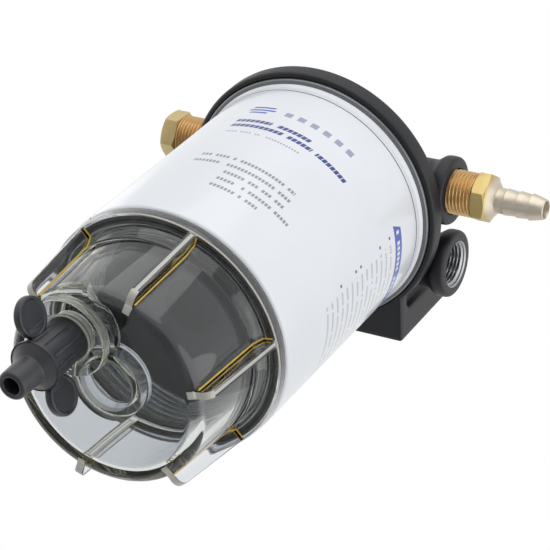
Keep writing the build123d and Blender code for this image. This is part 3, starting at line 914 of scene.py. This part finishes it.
@dataclass
class FilterHead(Part):
    """Cast head with its rim, bosses and bracket, and the threads in its rear ports."""

    face_z: float = 110.0
    rim_low: float = 105.2
    rim_top: float = 112.5
    rim_inner_r: float = 40.0
    rim_r: float = 51.2
    skirt_r: float = 49.2
    deck_r: Pair = (47.0, 44.0)
    deck_top: float = 117.5
    hub_r: float = 17.5
    hub_top: float = 133.0
    edge_r: float = 3.0       # rounding of the hub's, the bridge's and the web's upper edges
    bridge_half: float = 36.0
    bridge_top: float = 130.0
    boss_r: float = 13.05
    collar_x: float = 46.4
    neck_x: float = 43.0
    neck_r: float = 10.5
    bore_r: float = 8.55
    bore_depth: float = 16.0
    gallery_r: float = 7.0
    nipple_r: float = 12.75
    nipple_depth: float = 8.0
    centre_r: float = 9.0     # way up from the nipple
    inlet: Pair = (18.0, 28.0)    # radii of the inlet's ring
    inlet_depth: float = 5.0
    feed_r: float = 4.5       # way down to that ring
    feed_y: float = 23.0
    pad_half: float = 37.0
    pad_y: Pair = (42.0, 54.0)
    pad_top: float = 163.0
    pad_corner: float = 8.0
    flange_y: Pair = (34.0, 48.0)
    flange_top: float = 111.0
    web_half: float = 34.0
    web_top: float = 134.0
    bolt_x: float = 26.0
    bolt_z: float = 153.0
    bolt_r: float = 4.5
    bolt_reach: float = 20.0
    grain: float = 0.85       # size of the mesh that the casting's soft edges are drawn in

    def upright(self, half: float, top: float, corner: float, y: Pair, steps: int = 5) -> Piece:
        """Block across the head, from the rim's lower edge up.

        Args:
            half: half its width.
            top: its top.
            corner: radius of its upper corners.
            y: its front and back.
            steps: points in each corner, less one.

        Returns:
            The block.
        """
        low = self.rim_low
        outline = rounded([(-half, low), (half, low), (half, top, corner), (-half, top, corner)], steps)
        return moved(slab(outline, y[1] - y[0]), 0, sum(y) / 2)

    def blank(self) -> Piece:
        """The casting before machining, its edges and corners softened as by the mould.

        Returns:
            The casting.
        """
        low, (foot_r, edge_r) = self.rim_low, self.deck_r
        boss, neck, collar_x, neck_x = self.boss_r, self.neck_r, self.collar_x, self.neck_x
        casting = turned([(0, low), (foot_r, low), (foot_r, self.rim_top), (edge_r, self.deck_top),
                          (0, self.deck_top)])
        hub = rounded([(0, low), (self.hub_r, low), (self.hub_r, self.hub_top, self.edge_r),
                       (0, self.hub_top)])
        bosses = rounded([(0, -BOSS_FACE), (boss, -BOSS_FACE, 1.3), (boss, -collar_x, 0.8),
                          (neck, -neck_x, 1.5), (neck, neck_x, 1.5), (boss, collar_x, 0.8),
                          (boss, BOSS_FACE, 1.3), (0, BOSS_FACE)])
        combine(casting, Cut.ADD, turned(hub, 96),
                self.upright(self.bridge_half, self.bridge_top, self.edge_r, (FRONT_Y, REAR_Y)),
                *(lying(turned(bosses, 96), y) for y in (FRONT_Y, REAR_Y)),
                self.upright(self.pad_half, self.pad_top, self.pad_corner, self.pad_y, 10),
                box((-self.pad_half, self.pad_half), self.flange_y, (low, self.flange_top)),
                self.upright(self.web_half, self.web_top, self.edge_r, (REAR_Y, self.flange_y[1])))
        remesh = casting.modifiers.new("mould", "REMESH")
        remesh.voxel_size = self.grain * MM
        smooth = casting.modifiers.new("soft", "SMOOTH")
        smooth.factor = 0.5
        smooth.iterations = 5
        apply_all(casting)
        return casting

    def rim(self) -> Piece:
        """Turned rim, before the skirt is bored in it."""
        low, top, inner, outer = self.rim_low, self.rim_top, self.rim_inner_r, self.rim_r
        return turned(rounded([(inner, low), (outer, low, 1.2), (outer, top, 1.3), (inner, top)]), 256)

    def port_cut(self, threaded: bool) -> Piece:
        """Cutter for one port: countersink, bore and thread, from the boss face at z = 0 inwards.

        Args:
            threaded: whether the thread shows.

        Returns:
            The cutter.
        """
        r, end = self.bore_r, -self.bore_depth
        thread = Thread(r, 0.95, PIPE_PITCH, end + 1.0, -0.9, crest=0.15)
        bore = thread.path(rising=False) if threaded else []
        cutter = turned([(0, PAST), (r + 1.5, PAST), (r + 0.5, 0), (r, -0.5), *bore, (r, end), (0, end)], 96)
        return thread.press(cutter)

    def machined(self, casting: Piece) -> Piece:
        """Cuts everything that is machined.

        Args:
            casting: the soft casting.

        Returns:
            The casting.
        """
        low, face, r = self.rim_low, self.face_z, self.skirt_r
        skirt = turned([(0, low - PAST), (r + 0.6, low - PAST), (r, low + 0.4), (r, face), (0, face)], 256)
        bores = [turned([(inner, face - PAST), (outer, face - PAST), (outer, top), (inner, top)], steps)
                 for inner, outer, top, steps in (
                     (0, self.nipple_r, face + self.nipple_depth, 96), (0, self.centre_r, PORT_Z, 64),
                     (*self.inlet, face + self.inlet_depth, 96), (0, self.feed_r, PORT_Z, 48))]
        # The last of them is the way down to the inlet's ring, off the axis
        moved(bores[-1], 0, self.feed_y)
        combine(casting, Cut.ADD, self.rim())
        combine(casting, Cut.TAKE, skirt, *bores)
        r = self.gallery_r
        for y, threaded in ((FRONT_Y, False), (REAR_Y, True)):
            gallery = turned([(0, -BOSS_FACE), (r, -BOSS_FACE), (r, BOSS_FACE), (0, BOSS_FACE)], 64)
            ports = [lying(moved(self.port_cut(threaded), z=BOSS_FACE), y, side) for side in Side]
            combine(casting, Cut.TAKE, lying(gallery, y), *ports)
        r, end = self.bolt_r, -self.bolt_reach
        for x in (-self.bolt_x, self.bolt_x):
            hole = turned([(0, end), (r, end), (r, -0.8), (r + 1.8, PAST), (0, PAST)], 64)
            combine(casting, Cut.TAKE, moved(swung(hole, -90, "X"), x, self.pad_y[1], self.bolt_z))
        return casting

    def build(self) -> None:
        """The finished head, its rear ports bare metal inside."""
        head = finished(self.machined(self.blank()), "filter_head_casting", "head", "cast_head",
                        "filter_head", self.finishes.cast_paint, self.finishes.bare_thread)
        for face in head.data.polygons:
            x, y, z = (face.center - TO_FRAME) / MM
            deep = BOSS_FACE - self.bore_depth - 0.1 < abs(x) < BOSS_FACE - 0.1
            face.material_index = int(deep and math.hypot(y - REAR_Y, z - PORT_Z) < self.bore_r + 0.65)


@dataclass
class HexBar:
    """Hexagonal stretch of a turned piece, with the corners of its ends turned off."""

    length: float
    turn: float
    crown: float = 0.0        # how far past its corners the turned ends reach
    flats: float = 17.0

    def build(self) -> Piece:
        """Cuts the bar, standing on z = 0.

        Returns:
            The bar.
        """
        corner_r, length = self.flats / 2 / math.cos(math.pi / 6), self.length
        nothing_selected()
        bpy.ops.mesh.primitive_cylinder_add(vertices=6, radius=corner_r * MM, depth=length * MM)
        bar = swung(moved(bpy.context.active_object, z=length / 2), self.turn)
        inner, outer = self.flats / 2, corner_r + self.crown
        lean = (corner_r - inner) * math.tan(math.radians(30))
        ends = turned([(0, 0), (inner, 0), (outer, lean), (outer, length - lean), (inner, length),
                       (0, length)], 96)
        combine(bar, Cut.KEEP, ends)
        soften(bar, 0.2)
        return bar


@dataclass
class PipeFitting(Part):
    """Brass piece in a front port: what the hose fitting and the plug share."""

    hex_x: float
    hex_length: float
    hex_turn: float
    start: float = 35.5       # buried end
    thread_r: float = 8.5
    neck_r: float = 7.7       # relief before the hexagon

    def thread(self) -> Thread:
        """The stretch of pipe thread near the boss."""
        return Thread(self.thread_r, 0.8, PIPE_PITCH, BOSS_FACE - 3.0, self.hex_x - 0.5, runout=0.4)


@dataclass
class HoseFitting(PipeFitting):
    """Brass hose fitting: pipe thread, hexagon, cone and three barbs."""

    hex_x: float = 60.5
    hex_length: float = 5.5
    hex_turn: float = -4.0
    hollow_r: float = 7.9     # inside of the hexagon, filled by the turned piece
    cone_r: Pair = (8.4, 5.5)
    cone_x: float = 68.4
    stem_r: float = 4.85
    barb_x: float = 71.9
    barb_pitch: float = 4.95
    barbs: int = 3
    crest_r: float = 5.05
    foot_r: float = 4.6
    tip_x: float = 87.4
    tip_r: float = 3.75
    bore_r: float = 3.1

    def outline(self, thread: Thread) -> Points:
        """Half section, from the buried end to the hose end and back through the bore.

        Args:
            thread: its pipe thread.

        Returns:
            The (r, x) points.
        """
        r, neck_r, bore_r, (wide_r, narrow_r) = self.thread_r, self.neck_r, self.bore_r, self.cone_r
        hex_x, tip_x = self.hex_x, self.tip_x
        points = [(bore_r, self.start), (neck_r, self.start), (r, self.start + 1.2), *thread.path(),
                  (r, hex_x - 0.35), (neck_r, hex_x + 0.05), (neck_r, hex_x + 0.6), (wide_r, hex_x + 0.6),
                  (wide_r, hex_x + self.hex_length), (narrow_r, self.cone_x),
                  (self.stem_r, self.cone_x + 0.25)]
        for barb in range(self.barbs):
            crest = self.barb_x + barb * self.barb_pitch
            foot_r = self.foot_r if barb else self.stem_r
            points += [(foot_r, crest - 0.25), (foot_r + 0.08, crest - 0.08), (self.crest_r - 0.06, crest),
                       (self.crest_r, crest + 0.15), (self.crest_r - 0.02, crest + 0.5)]
        return points + [(self.tip_r + 0.12, tip_x - 0.45), (self.tip_r - 0.05, tip_x - 0.1),
                         (self.tip_r - 0.2, tip_x), (bore_r + 0.2, tip_x), (bore_r, tip_x - 0.4)]

    def build(self) -> None:
        """The finished fitting."""
        thread, r, top = self.thread(), self.hollow_r, self.hex_length - 0.5
        fitting = thread.press(turned(self.outline(thread), 128))
        nut = combine(HexBar(self.hex_length, self.hex_turn).build(), Cut.TAKE,
                      turned([(0, -PAST), (r, -PAST), (r, top), (0, top)], 96))
        combine(fitting, Cut.ADD, moved(nut, z=self.hex_x))
        finished(lying(fitting, FRONT_Y), "hose_fitting_turned", "head", "brass_fitting", "hose_barb_fitting",
                 self.finishes.brass)


@dataclass
class PortPlug(PipeFitting):
    """Brass plug: pipe thread and hexagon."""

    hex_x: float = 65.4
    hex_length: float = 6.2
    hex_turn: float = 32.0
    mouth_r: float = 7.5

    def build(self) -> None:
        """The finished plug."""
        thread, r, neck_r, hex_x = self.thread(), self.thread_r, self.neck_r, self.hex_x
        outline = [(0, self.start), (self.mouth_r, self.start), (r, self.start + 1.0), *thread.path(),
                   (r, hex_x - 0.3), (neck_r, hex_x + 0.1), (neck_r, hex_x + 1.0), (0, hex_x + 1.0)]
        plug = thread.press(turned(outline, 128))
        combine(plug, Cut.ADD, moved(HexBar(self.hex_length, self.hex_turn, 0.3).build(), z=hex_x))
        finished(lying(plug, FRONT_Y, Side.LEFT), "port_plug_turned", "head", "brass_fitting", "port_plug",
                 self.finishes.brass)


@dataclass
class Can(Part):
    """Steel can with its double seam, thread ring and the element's lower cap."""

    r: float = 46.5
    wall: float = 0.7
    height: float = 104.0
    lip_r: float = 40.9
    flare: float = 0.9
    flare_height: float = 1.5
    seam_r: float = 48.9
    seam_inner_r: float = 45.0
    seam_top: float = 108.2
    mouth_r: float = 26.0
    panel: Pair = (103.7, 104.5)
    ridges: tuple[Pair, ...] = ((36.3, 37.1), (29.9, 30.7))    # radii of the gasket's two ribs
    ridge_top: float = 106.5
    notch_angle: float = -33.0
    notch_half: float = 0.35
    notch_low: float = 105.8
    ring_top: float = 15.0
    thread_r: float = 40.05
    cap_r: float = 37.5
    cap_wall: float = 0.7
    cap_rise: float = 6.0
    sheet: float = 1.2        # thickness of the end cap's sheet
    well_r: Pair = (9.4, 10.4)    # at its top and its mouth
    well_depth: float = 7.0
    tabs: int = 6
    tab_r: Pair = (36.0, 43.5)
    tab_half: float = 1.6
    tab_turn: float = -8.0

    def shell(self) -> None:
        """Drawn shell, rolled in below and out above."""
        inner, top = self.r - self.wall, self.height
        outline = rounded([(self.lip_r, 0, 0.3), (self.r, 0, 1.6), (self.r, top - self.flare_height, 2.2),
                           (self.r + self.flare, top, 0.2), (inner, top), (inner, self.wall),
                           (self.lip_r, self.wall, 0.3)], 6)
        finished(turned(outline, 256), "can_drawn_shell", "can", "white_can", "can_shell",
                 self.finishes.enamel, angle=40)

    def lid(self) -> None:
        """Seaming lid: the double seam that shows, the panel and the gasket's two ribs."""
        seam, top, ridge_top, (low, high) = self.seam_r, self.seam_top, self.ridge_top, self.panel
        corners = [(self.mouth_r, low, 0.2), (FIT_R, low), (FIT_R, self.height), (seam, self.height, 0.9),
                   (seam, top, 1.5), (self.seam_inner_r, top, 0.8), (self.seam_inner_r, high)]
        for inner, outer in self.ridges:
            corners += [(outer, high), (outer, ridge_top, 0.3), (inner, ridge_top, 0.3), (inner, high)]
        lid = turned(rounded(corners + [(self.mouth_r, high, 0.2)]), 256)
        notch = box((seam - 0.5, seam + PAST), (-self.notch_half, self.notch_half),
                    (self.notch_low, top + PAST))
        combine(lid, Cut.TAKE, swung(notch, self.notch_angle))
        finished(lid, "seaming_lid_rolled", "can", "lid_steel", "seaming_lid", self.finishes.seam_steel)

    def ring(self) -> None:
        """Ring in the can's lower end, with the thread that takes the bowl."""
        low, top, mouth_r = self.wall, self.ring_top, self.thread_r + 0.6
        thread = Thread(self.thread_r, BOWL_THREAD, BOWL_PITCH, low + 0.3, top - 0.3)
        outline = [(FIT_R, low), (FIT_R, top), (mouth_r, top), *thread.path(rising=False), (mouth_r, low)]
        finished(thread.press(turned(outline)), "bowl_ring_threaded", "can", "plated_steel",
                 "bowl_thread_ring", self.finishes.zinc)

    def lower_cap(self) -> None:
        """Element's lower end cap, seen through the bowl: a pressed cup with six tabs and a centre well."""
        low, sheet, outer, inner = self.ring_top, self.sheet, self.cap_r, self.cap_r - self.cap_wall
        rim, well, (top_r, mouth_r) = low + self.cap_rise, low + self.well_depth, self.well_r
        cap = turned(rounded([
            (0, well), (top_r, well, 0.8), (mouth_r, low, 0.8), (outer, low, 0.6), (outer, rim, 0.2),
            (inner, rim, 0.2), (inner, low + sheet), (mouth_r + sheet, low + sheet),
            (top_r + sheet, well + sheet), (0, well + sheet)]))
        (start, end), half = self.tab_r, self.tab_half
        tab = slab(rounded([(start, -half), (end, -half, 0.8), (end, half, 0.8), (start, half)]), sheet)
        tabs = around(moved(swung(tab, -90, "X"), z=low + sheet / 2), self.tabs, self.tab_turn)
        finished(combine(cap, Cut.ADD, *tabs), "lower_cap_pressed", "can", "end_cap", "lower_end_cap",
                 self.finishes.cap_sheet)

    def build(self) -> None:
        """All the can's own pieces."""
        self.shell()
        self.lid()
        self.ring()
        self.lower_cap()


@dataclass
class Seals(Part):
    """Rubber rings that show: the bowl's seal in its groove."""

    inner_r: float = 41.8
    outer_r: float = 44.6
    low: float = -3.0
    edge_r: float = 1.2

    def build(self) -> None:
        """The bowl's seal."""
        inner, outer, low, edge = self.inner_r, self.outer_r, self.low, self.edge_r
        outline = rounded([(inner, low, edge), (outer, low, edge), (outer, 0, edge), (inner, 0, edge)])
        finished(turned(outline), "bowl_seal_moulded", "bowl_carrier", "rubber_seal", "bowl_seal",
                 self.finishes.rubber, angle=60)


def drain_thread(surface_r: float, top: float) -> Thread:
    """Thread of the drain valve or of its bore, up from the boss face."""
    return Thread(surface_r, 0.75, 1.5, DRAIN_FACE + 0.4, top, runout=0.5)


@dataclass
class Bowl(Part):
    """Clear bowl: collar, tapered wall, six ribs, drain boss, inner collar and threaded neck."""

    neck_r: float = 40.0
    neck_inner_r: float = 35.4
    neck_top: float = 14.0
    collar_r: float = 46.0
    collar_top: float = -0.3
    groove: Pair = (41.5, 44.9)
    groove_low: float = -3.0
    inner_floor: float = -38.5
    inner_low_r: float = 33.2
    rib_thickness: float = 3.0
    rib_outer_r: Pair = (45.5, 41.75)    # under the collar, and at its foot
    rib_inner_r: tuple[float, float, float] = (37.4, 35.05, 33.05)    # the same, with the foot's inner corner
    rib_foot: Pair = (-38.0, -41.5)    # top and bottom of the foot
    inner_collar: Pair = (9.8, 13.3)
    inner_collar_top: float = -31.0
    inner_collar_edge: float = 0.6
    sunk: float = 1.7         # how deep its foot lies in the floor
    boss_top: float = -34.8
    boss_r: Pair = (14.3, 15.5)
    boss_reach: float = 44.0  # radius that the boss keeps within, under the floor
    bore_r: float = 8.05
    seat: float = -36.8
    hole_r: float = 3.5

    def shell(self) -> Piece:
        """Turned body with the neck's thread.

        Returns:
            The body.
        """
        (low_r, floor), (top_r, wall_top), (end_r, collar_low) = WALL_LOW, WALL_TOP, WALL_END
        neck, neck_top, collar, top = self.neck_r, self.neck_top, self.collar_r, self.collar_top
        inner_r, (groove_in, groove_out), groove_low = self.neck_inner_r, self.groove, self.groove_low
        thread = Thread(neck, BOWL_THREAD, BOWL_PITCH, 0.6, neck_top - 0.6)
        inside = rounded([(0, self.inner_floor), (self.inner_low_r, self.inner_floor, 3.0),
                          (inner_r, collar_low, 2.0), (inner_r, neck_top, 0.6), (neck, neck_top, 0.4)], 8)
        outside = rounded([(neck, top), (groove_in, top, 0.3), (groove_in, groove_low, 0.3),
                           (groove_out, groove_low, 0.3), (groove_out, top, 0.3), (collar, top, 0.4),
                           (collar, collar_low, 0.7), (end_r, collar_low, 0.5), (top_r, wall_top, 3.0),
                           (low_r, floor, 4.0), (0, floor)], 8)
        return thread.press(turned(inside + thread.path(rising=False) + outside))

    def rib(self) -> Piece:
        """One rib, with rounded edges and a rounded foot.

        Returns:
            The rib.
        """
        collar_low, (root, foot) = WALL_END[1], self.rib_foot
        (top_r, foot_r), (in_top_r, in_root_r, in_foot_r) = self.rib_outer_r, self.rib_inner_r
        outline = rounded([(in_top_r, collar_low + 1), (top_r, collar_low + 1), (top_r, collar_low),
                           (foot_r, foot, 3.5), (in_foot_r, foot), (in_root_r, root)], 8)
        return slab(outline, self.rib_thickness, 0.2)

    def drain_boss(self) -> Piece:
        """Drafted boss through the floor, kept inside the wall.

        Returns:
            The boss.
        """
        face, top, reach, (face_r, top_r) = DRAIN_FACE, self.boss_top, self.boss_reach, self.boss_r
        boss = turned(rounded([(0, face), (face_r, face, 0.7), (top_r, top, 0.7), (0, top)]), 128)
        moved(boss, *DRAIN)
        inner, middle = (self.inner_low_r + WALL_LOW[0]) / 2, (WALL_LOW[1] + self.inner_floor) / 2
        room = turned([(0, face - PAST), (reach, face - PAST), (reach, middle), (inner, middle),
                       (inner, top + PAST), (0, top + PAST)])
        return combine(boss, Cut.KEEP, room)

    def drain_bore(self) -> Piece:
        """Cutter for the threaded drain bore and the hole above its seat.

        Returns:
            The cutter.
        """
        r, hole_r, seat, face, top = self.bore_r, self.hole_r, self.seat, DRAIN_FACE, self.boss_top + PAST
        thread = drain_thread(r, seat - 0.3)
        outline = [(0, face - PAST), (r + 0.5, face - PAST), (r + 0.3, face), *thread.path(), (r, seat),
                   (hole_r, seat), (hole_r, top), (0, top)]
        return moved(thread.press(turned(outline, 128)), *DRAIN)

    def collar(self) -> tuple[Piece, Piece]:
        """Inner collar on the floor.

        Returns:
            Its body and its bore.
        """
        floor, top, edge = self.inner_floor, self.inner_collar_top, self.inner_collar_edge
        low, (r, outer) = floor - self.sunk, self.inner_collar
        body = turned(rounded([(0, low), (outer, low), (outer, top, edge), (0, top)]), 128)
        bore = turned([(0, floor), (r, floor), (r, top - edge), (r + edge, top), (r + edge, top + 2 * PAST),
                       (0, top + 2 * PAST)], 128)
        return body, bore

    def build(self) -> None:
        """The finished bowl."""
        collar, hollow = self.collar()
        bowl = combine(self.shell(), Cut.ADD, *around(self.rib(), RIBS, RIB_TURN), self.drain_boss(), collar)
        combine(bowl, Cut.TAKE, hollow, self.drain_bore())
        finished(bowl, "bowl_moulded", "bowl", "clear_bowl", "bowl", self.finishes.clear)


@dataclass
class DrainValve(Part):
    """Black drain valve: threaded neck, fluted body, two ears and a hose spout."""

    thread_r: float = 8.0
    thread_top: float = -41.3
    land_r: float = 6.6       # plain step above the thread
    land_top: float = -39.7
    nose_r: float = 4.2
    nose_top: float = -37.3
    nose_wall: float = 2.4
    hole_r: float = 0.7       # small hole across the nose
    hole_z: float = -40.5
    hole_half: float = 10.0   # half its cutter's length
    neck_r: float = 7.45
    low_r: float = 8.4
    body_low: float = -62.9
    shoulder_r: float = 9.0
    shoulder_low: float = -63.9
    spout_top: float = -67.1
    spout_r: float = 5.4
    tip: float = -77.7
    tip_r: float = 5.1
    bore_r: float = 2.55
    flutes: int = 12
    flute_depth: float = 0.35
    flute_width: float = 0.6
    ear_angle: float = 71.4
    ear_reach: float = 14.3
    ear_r: float = 7.0
    ear_z: float = -57.3
    ear_thickness: float = 3.0
    dish_r: Pair = (5.5, 5.9)    # at its floor and its lip
    dish_depth: float = 0.45

    def body(self) -> Piece:
        """Turned body with its neck thread, nose and spout.

        Returns:
            The body.
        """
        r, nose_low, nose_top, bore_r = self.thread_r, self.thread_top, self.nose_top, self.bore_r
        land_r, land_top, nose_r = self.land_r, self.land_top, self.nose_r
        bore_top = nose_top - self.nose_wall
        thread, top, low, rings = drain_thread(r, nose_low), DRAIN_FACE - 0.4, self.body_low, 24
        wall = [(self.neck_r + (self.low_r - self.neck_r) * i / rings, top + (low - top) * i / rings)
                for i in range(rings + 1)]
        spout = rounded([(self.shoulder_r, low, 0.3), (self.shoulder_r, self.shoulder_low, 1.2),
                         (self.spout_r, self.spout_top, 1.0), (self.tip_r, self.tip, 1.3),
                         (bore_r, self.tip, 0.8)])
        outline = [(bore_r, bore_top), *spout[::-1], *wall[::-1], (self.neck_r, DRAIN_FACE),
                   (r - 0.7, DRAIN_FACE), *thread.path(), (r - 0.5, nose_low), (land_r, nose_low),
                   (land_r, land_top), (nose_r, land_top), (nose_r, nose_top), (0, nose_top), (0, bore_top)]
        return thread.press(turned(outline, 288))

    def fluted(self, body: Piece) -> Piece:
        """Presses fine grooves in along the body's sides.

        Args:
            body: the turned body.

        Returns:
            The body.
        """
        low, high, step = self.body_low + 0.9, DRAIN_FACE - 1.2, 360 / self.flutes
        for vertex in body.data.vertices:
            x, y, z = vertex.co / MM
            r = math.hypot(x, y)
            if not low < z < high or r < self.neck_r - 0.2:
                continue
            offset = (math.degrees(math.atan2(y, x)) - self.ear_angle) % step - step / 2
            across = abs(math.radians(offset) * r) / self.flute_width
            scale = 1.0 - self.flute_depth * max(0.0, 1.0 - across * across) / r
            vertex.co.x *= scale
            vertex.co.y *= scale
        return body

    def ear(self) -> Piece:
        """One ear: a round lobe, dished on both sides inside a raised lip, on a root.

        Returns:
            The ear.
        """
        half, floor, (floor_r, lip_r), r = self.ear_thickness / 2, self.dish_depth, self.dish_r, self.ear_r
        lobe = turned(rounded([
            (0, floor - half), (floor_r, floor - half, 0.3), (lip_r, -half, 0.3), (r, -half, 0.8),
            (r, half, 0.8), (lip_r, half, 0.3), (floor_r, half - floor, 0.3), (0, half - floor)]), 96)
        start, end, z = 5.0, self.ear_reach - 3, self.ear_z
        root = slab(rounded([(start, z - 3.8), (end, z - 4.2, 1), (end, z + 4.2, 1), (start, z + 3.8)]),
                    self.ear_thickness - 0.6, 0.3)
        return combine(moved(swung(lobe, 90, "X"), self.ear_reach, 0, z), Cut.ADD, root)

    def build(self) -> None:
        """The finished valve."""
        valve = combine(self.fluted(self.body()), Cut.ADD, *around(self.ear(), 2, self.ear_angle))
        r, half = self.hole_r, self.hole_half
        hole = swung(turned([(0, -half), (r, -half), (r, half), (0, half)], 32), 90, "X")
        combine(valve, Cut.TAKE, moved(swung(hole, self.ear_angle), z=self.hole_z))
        finished(moved(valve, *DRAIN), "drain_valve_moulded", "drain", "black_valve", "drain_valve",
                 self.finishes.nylon)


@dataclass
class Inside(Part):
    """Solids that keep their own mesh: what the can hides, and the seal on the drain valve's nose."""

    def build(self) -> None:
        """Gives each its material."""
        finishes = self.finishes
        zinc, rubber = finishes.zinc, finishes.rubber
        for name, coat in {
            "centre_nipple": zinc, "can_gasket": rubber, "base_plate": zinc, "filter_media": finishes.paper,
            "element_centre_tube": zinc, "upper_end_cap": finishes.cap_sheet, "element_seal": rubber,
            "element_spring": zinc, "drain_seal": rubber,
        }.items():
            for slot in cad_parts[name].material_slots:
                slot.link = "OBJECT"
                slot.material = coat
            log.info("%s: dressed", name)


@dataclass
class Studio:
    """Pale floor, soft lamps, white surroundings and the camera below the front right."""

    place: tuple[float, float, float] = (375.43, -460.552, -733.555)
    right: tuple[float, float, float] = (0.87863, 0.0421, 0.47564)
    down: tuple[float, float, float] = (0.2009, 0.87105, -0.44822)
    ahead: tuple[float, float, float] = (-0.43318, 0.48938, 0.75688)
    lens: float = 153.24
    sensor: float = 36.0
    target: tuple[float, float, float] = (5.0, -54.0, -110.0)
    floor_z: float = -2500.0
    floor_size: float = 5.0   # side of the floor, m
    strength: Pair = (0.4, 1.0)    # of the surroundings, as light and as they are seen

    def axes(self) -> Matrix:
        """Camera's axes as columns."""
        right, down, ahead = Vector(self.right), Vector(self.down), Vector(self.ahead)
        return Matrix((right, -down, -ahead)).transposed()

    def camera(self) -> None:
        """Camera at the photograph's angle."""
        data = bpy.data.cameras.new("camera")
        data.lens = self.lens
        data.sensor_width = self.sensor
        data.clip_start = 0.01
        camera = bpy.data.objects.new("camera", data)
        camera.matrix_world = Matrix.Translation(Vector(self.place) * MM) @ self.axes().to_4x4()
        bpy.context.collection.objects.link(camera)
        bpy.context.scene.camera = camera

    def lamp(self, name: str, across: float, up: float, near: float, size: float, power: float) -> None:
        """Soft round lamp that faces the object and leaves no glint behind the clear bowl.

        Args:
            name: the lamp's name.
            across: metres to the right as the camera sees it.
            up: metres up as the camera sees it.
            near: metres towards the camera.
            size: width in metres.
            power: in watts.
        """
        data = bpy.data.lights.new(name, "AREA")
        data.shape = "DISK"
        data.size = size
        data.energy = power
        target = Vector(self.target) * MM
        place = target + self.axes() @ Vector((across, up, near))
        turn = (place - target).to_track_quat("Z", "Y").to_matrix().to_4x4()
        lamp = bpy.data.objects.new(name, data)
        lamp.matrix_world = Matrix.Translation(place) @ turn
        lamp.visible_transmission = False
        bpy.context.collection.objects.link(lamp)

    def world(self) -> None:
        """White for the camera, reflections and what shows through; softer as light."""
        world = bpy.data.worlds.new("studio")
        bpy.context.scene.world = world
        world.use_nodes = True
        tree = world.node_tree
        tree.nodes.clear()
        rays = add(tree, "LightPath").outputs
        seen = rays["Is Camera Ray"]
        for name in ("Is Glossy Ray", "Is Transmission Ray"):
            seen = add(tree, "Math", [seen, rays[name]], operation="MAXIMUM")
        strength = add(tree, "MapRange", [seen, 0.0, 1.0, *self.strength])
        light = add(tree, "Background", {"Color": (1, 1, 1, 1), "Strength": strength})
        add(tree, "OutputWorld", {"Surface": light})

    def floor(self) -> None:
        """Plain pale floor, far below the hanging object."""
        nothing_selected()
        bpy.ops.mesh.primitive_plane_add(size=self.floor_size, location=(0, 0, self.floor_z * MM))
        floor = bpy.context.active_object
        floor.name = "floor"
        floor.data.materials.append(Grain("matt_floor_paint", "#f3f3f1", 0.9, 4.0, 0.05, shift=0.02).build())

    def build(self) -> None:
        """Everything round the object."""
        self.camera()
        self.world()
        self.floor()
        self.lamp("key", 0.0, 1.0, 0.4, 1.6, 8.0)
        self.lamp("fill", 1.0, -0.3, 0.5, 1.6, 7.5)
        self.lamp("back", -0.7, 0.2, -0.6, 1.2, 2.0)
        bpy.context.scene.view_settings.view_transform = "Standard"


def main() -> None:
    """Builds the object and its surroundings."""
    logging.basicConfig(level=logging.INFO, format="%(message)s")
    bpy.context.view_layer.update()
    Studio().build()
    finishes = Finishes()
    for part in (FilterHead, HoseFitting, PortPlug, Can, Seals, Bowl, DrainValve, Inside):
        part(finishes).build()


if __name__ == "__main__":
    main()
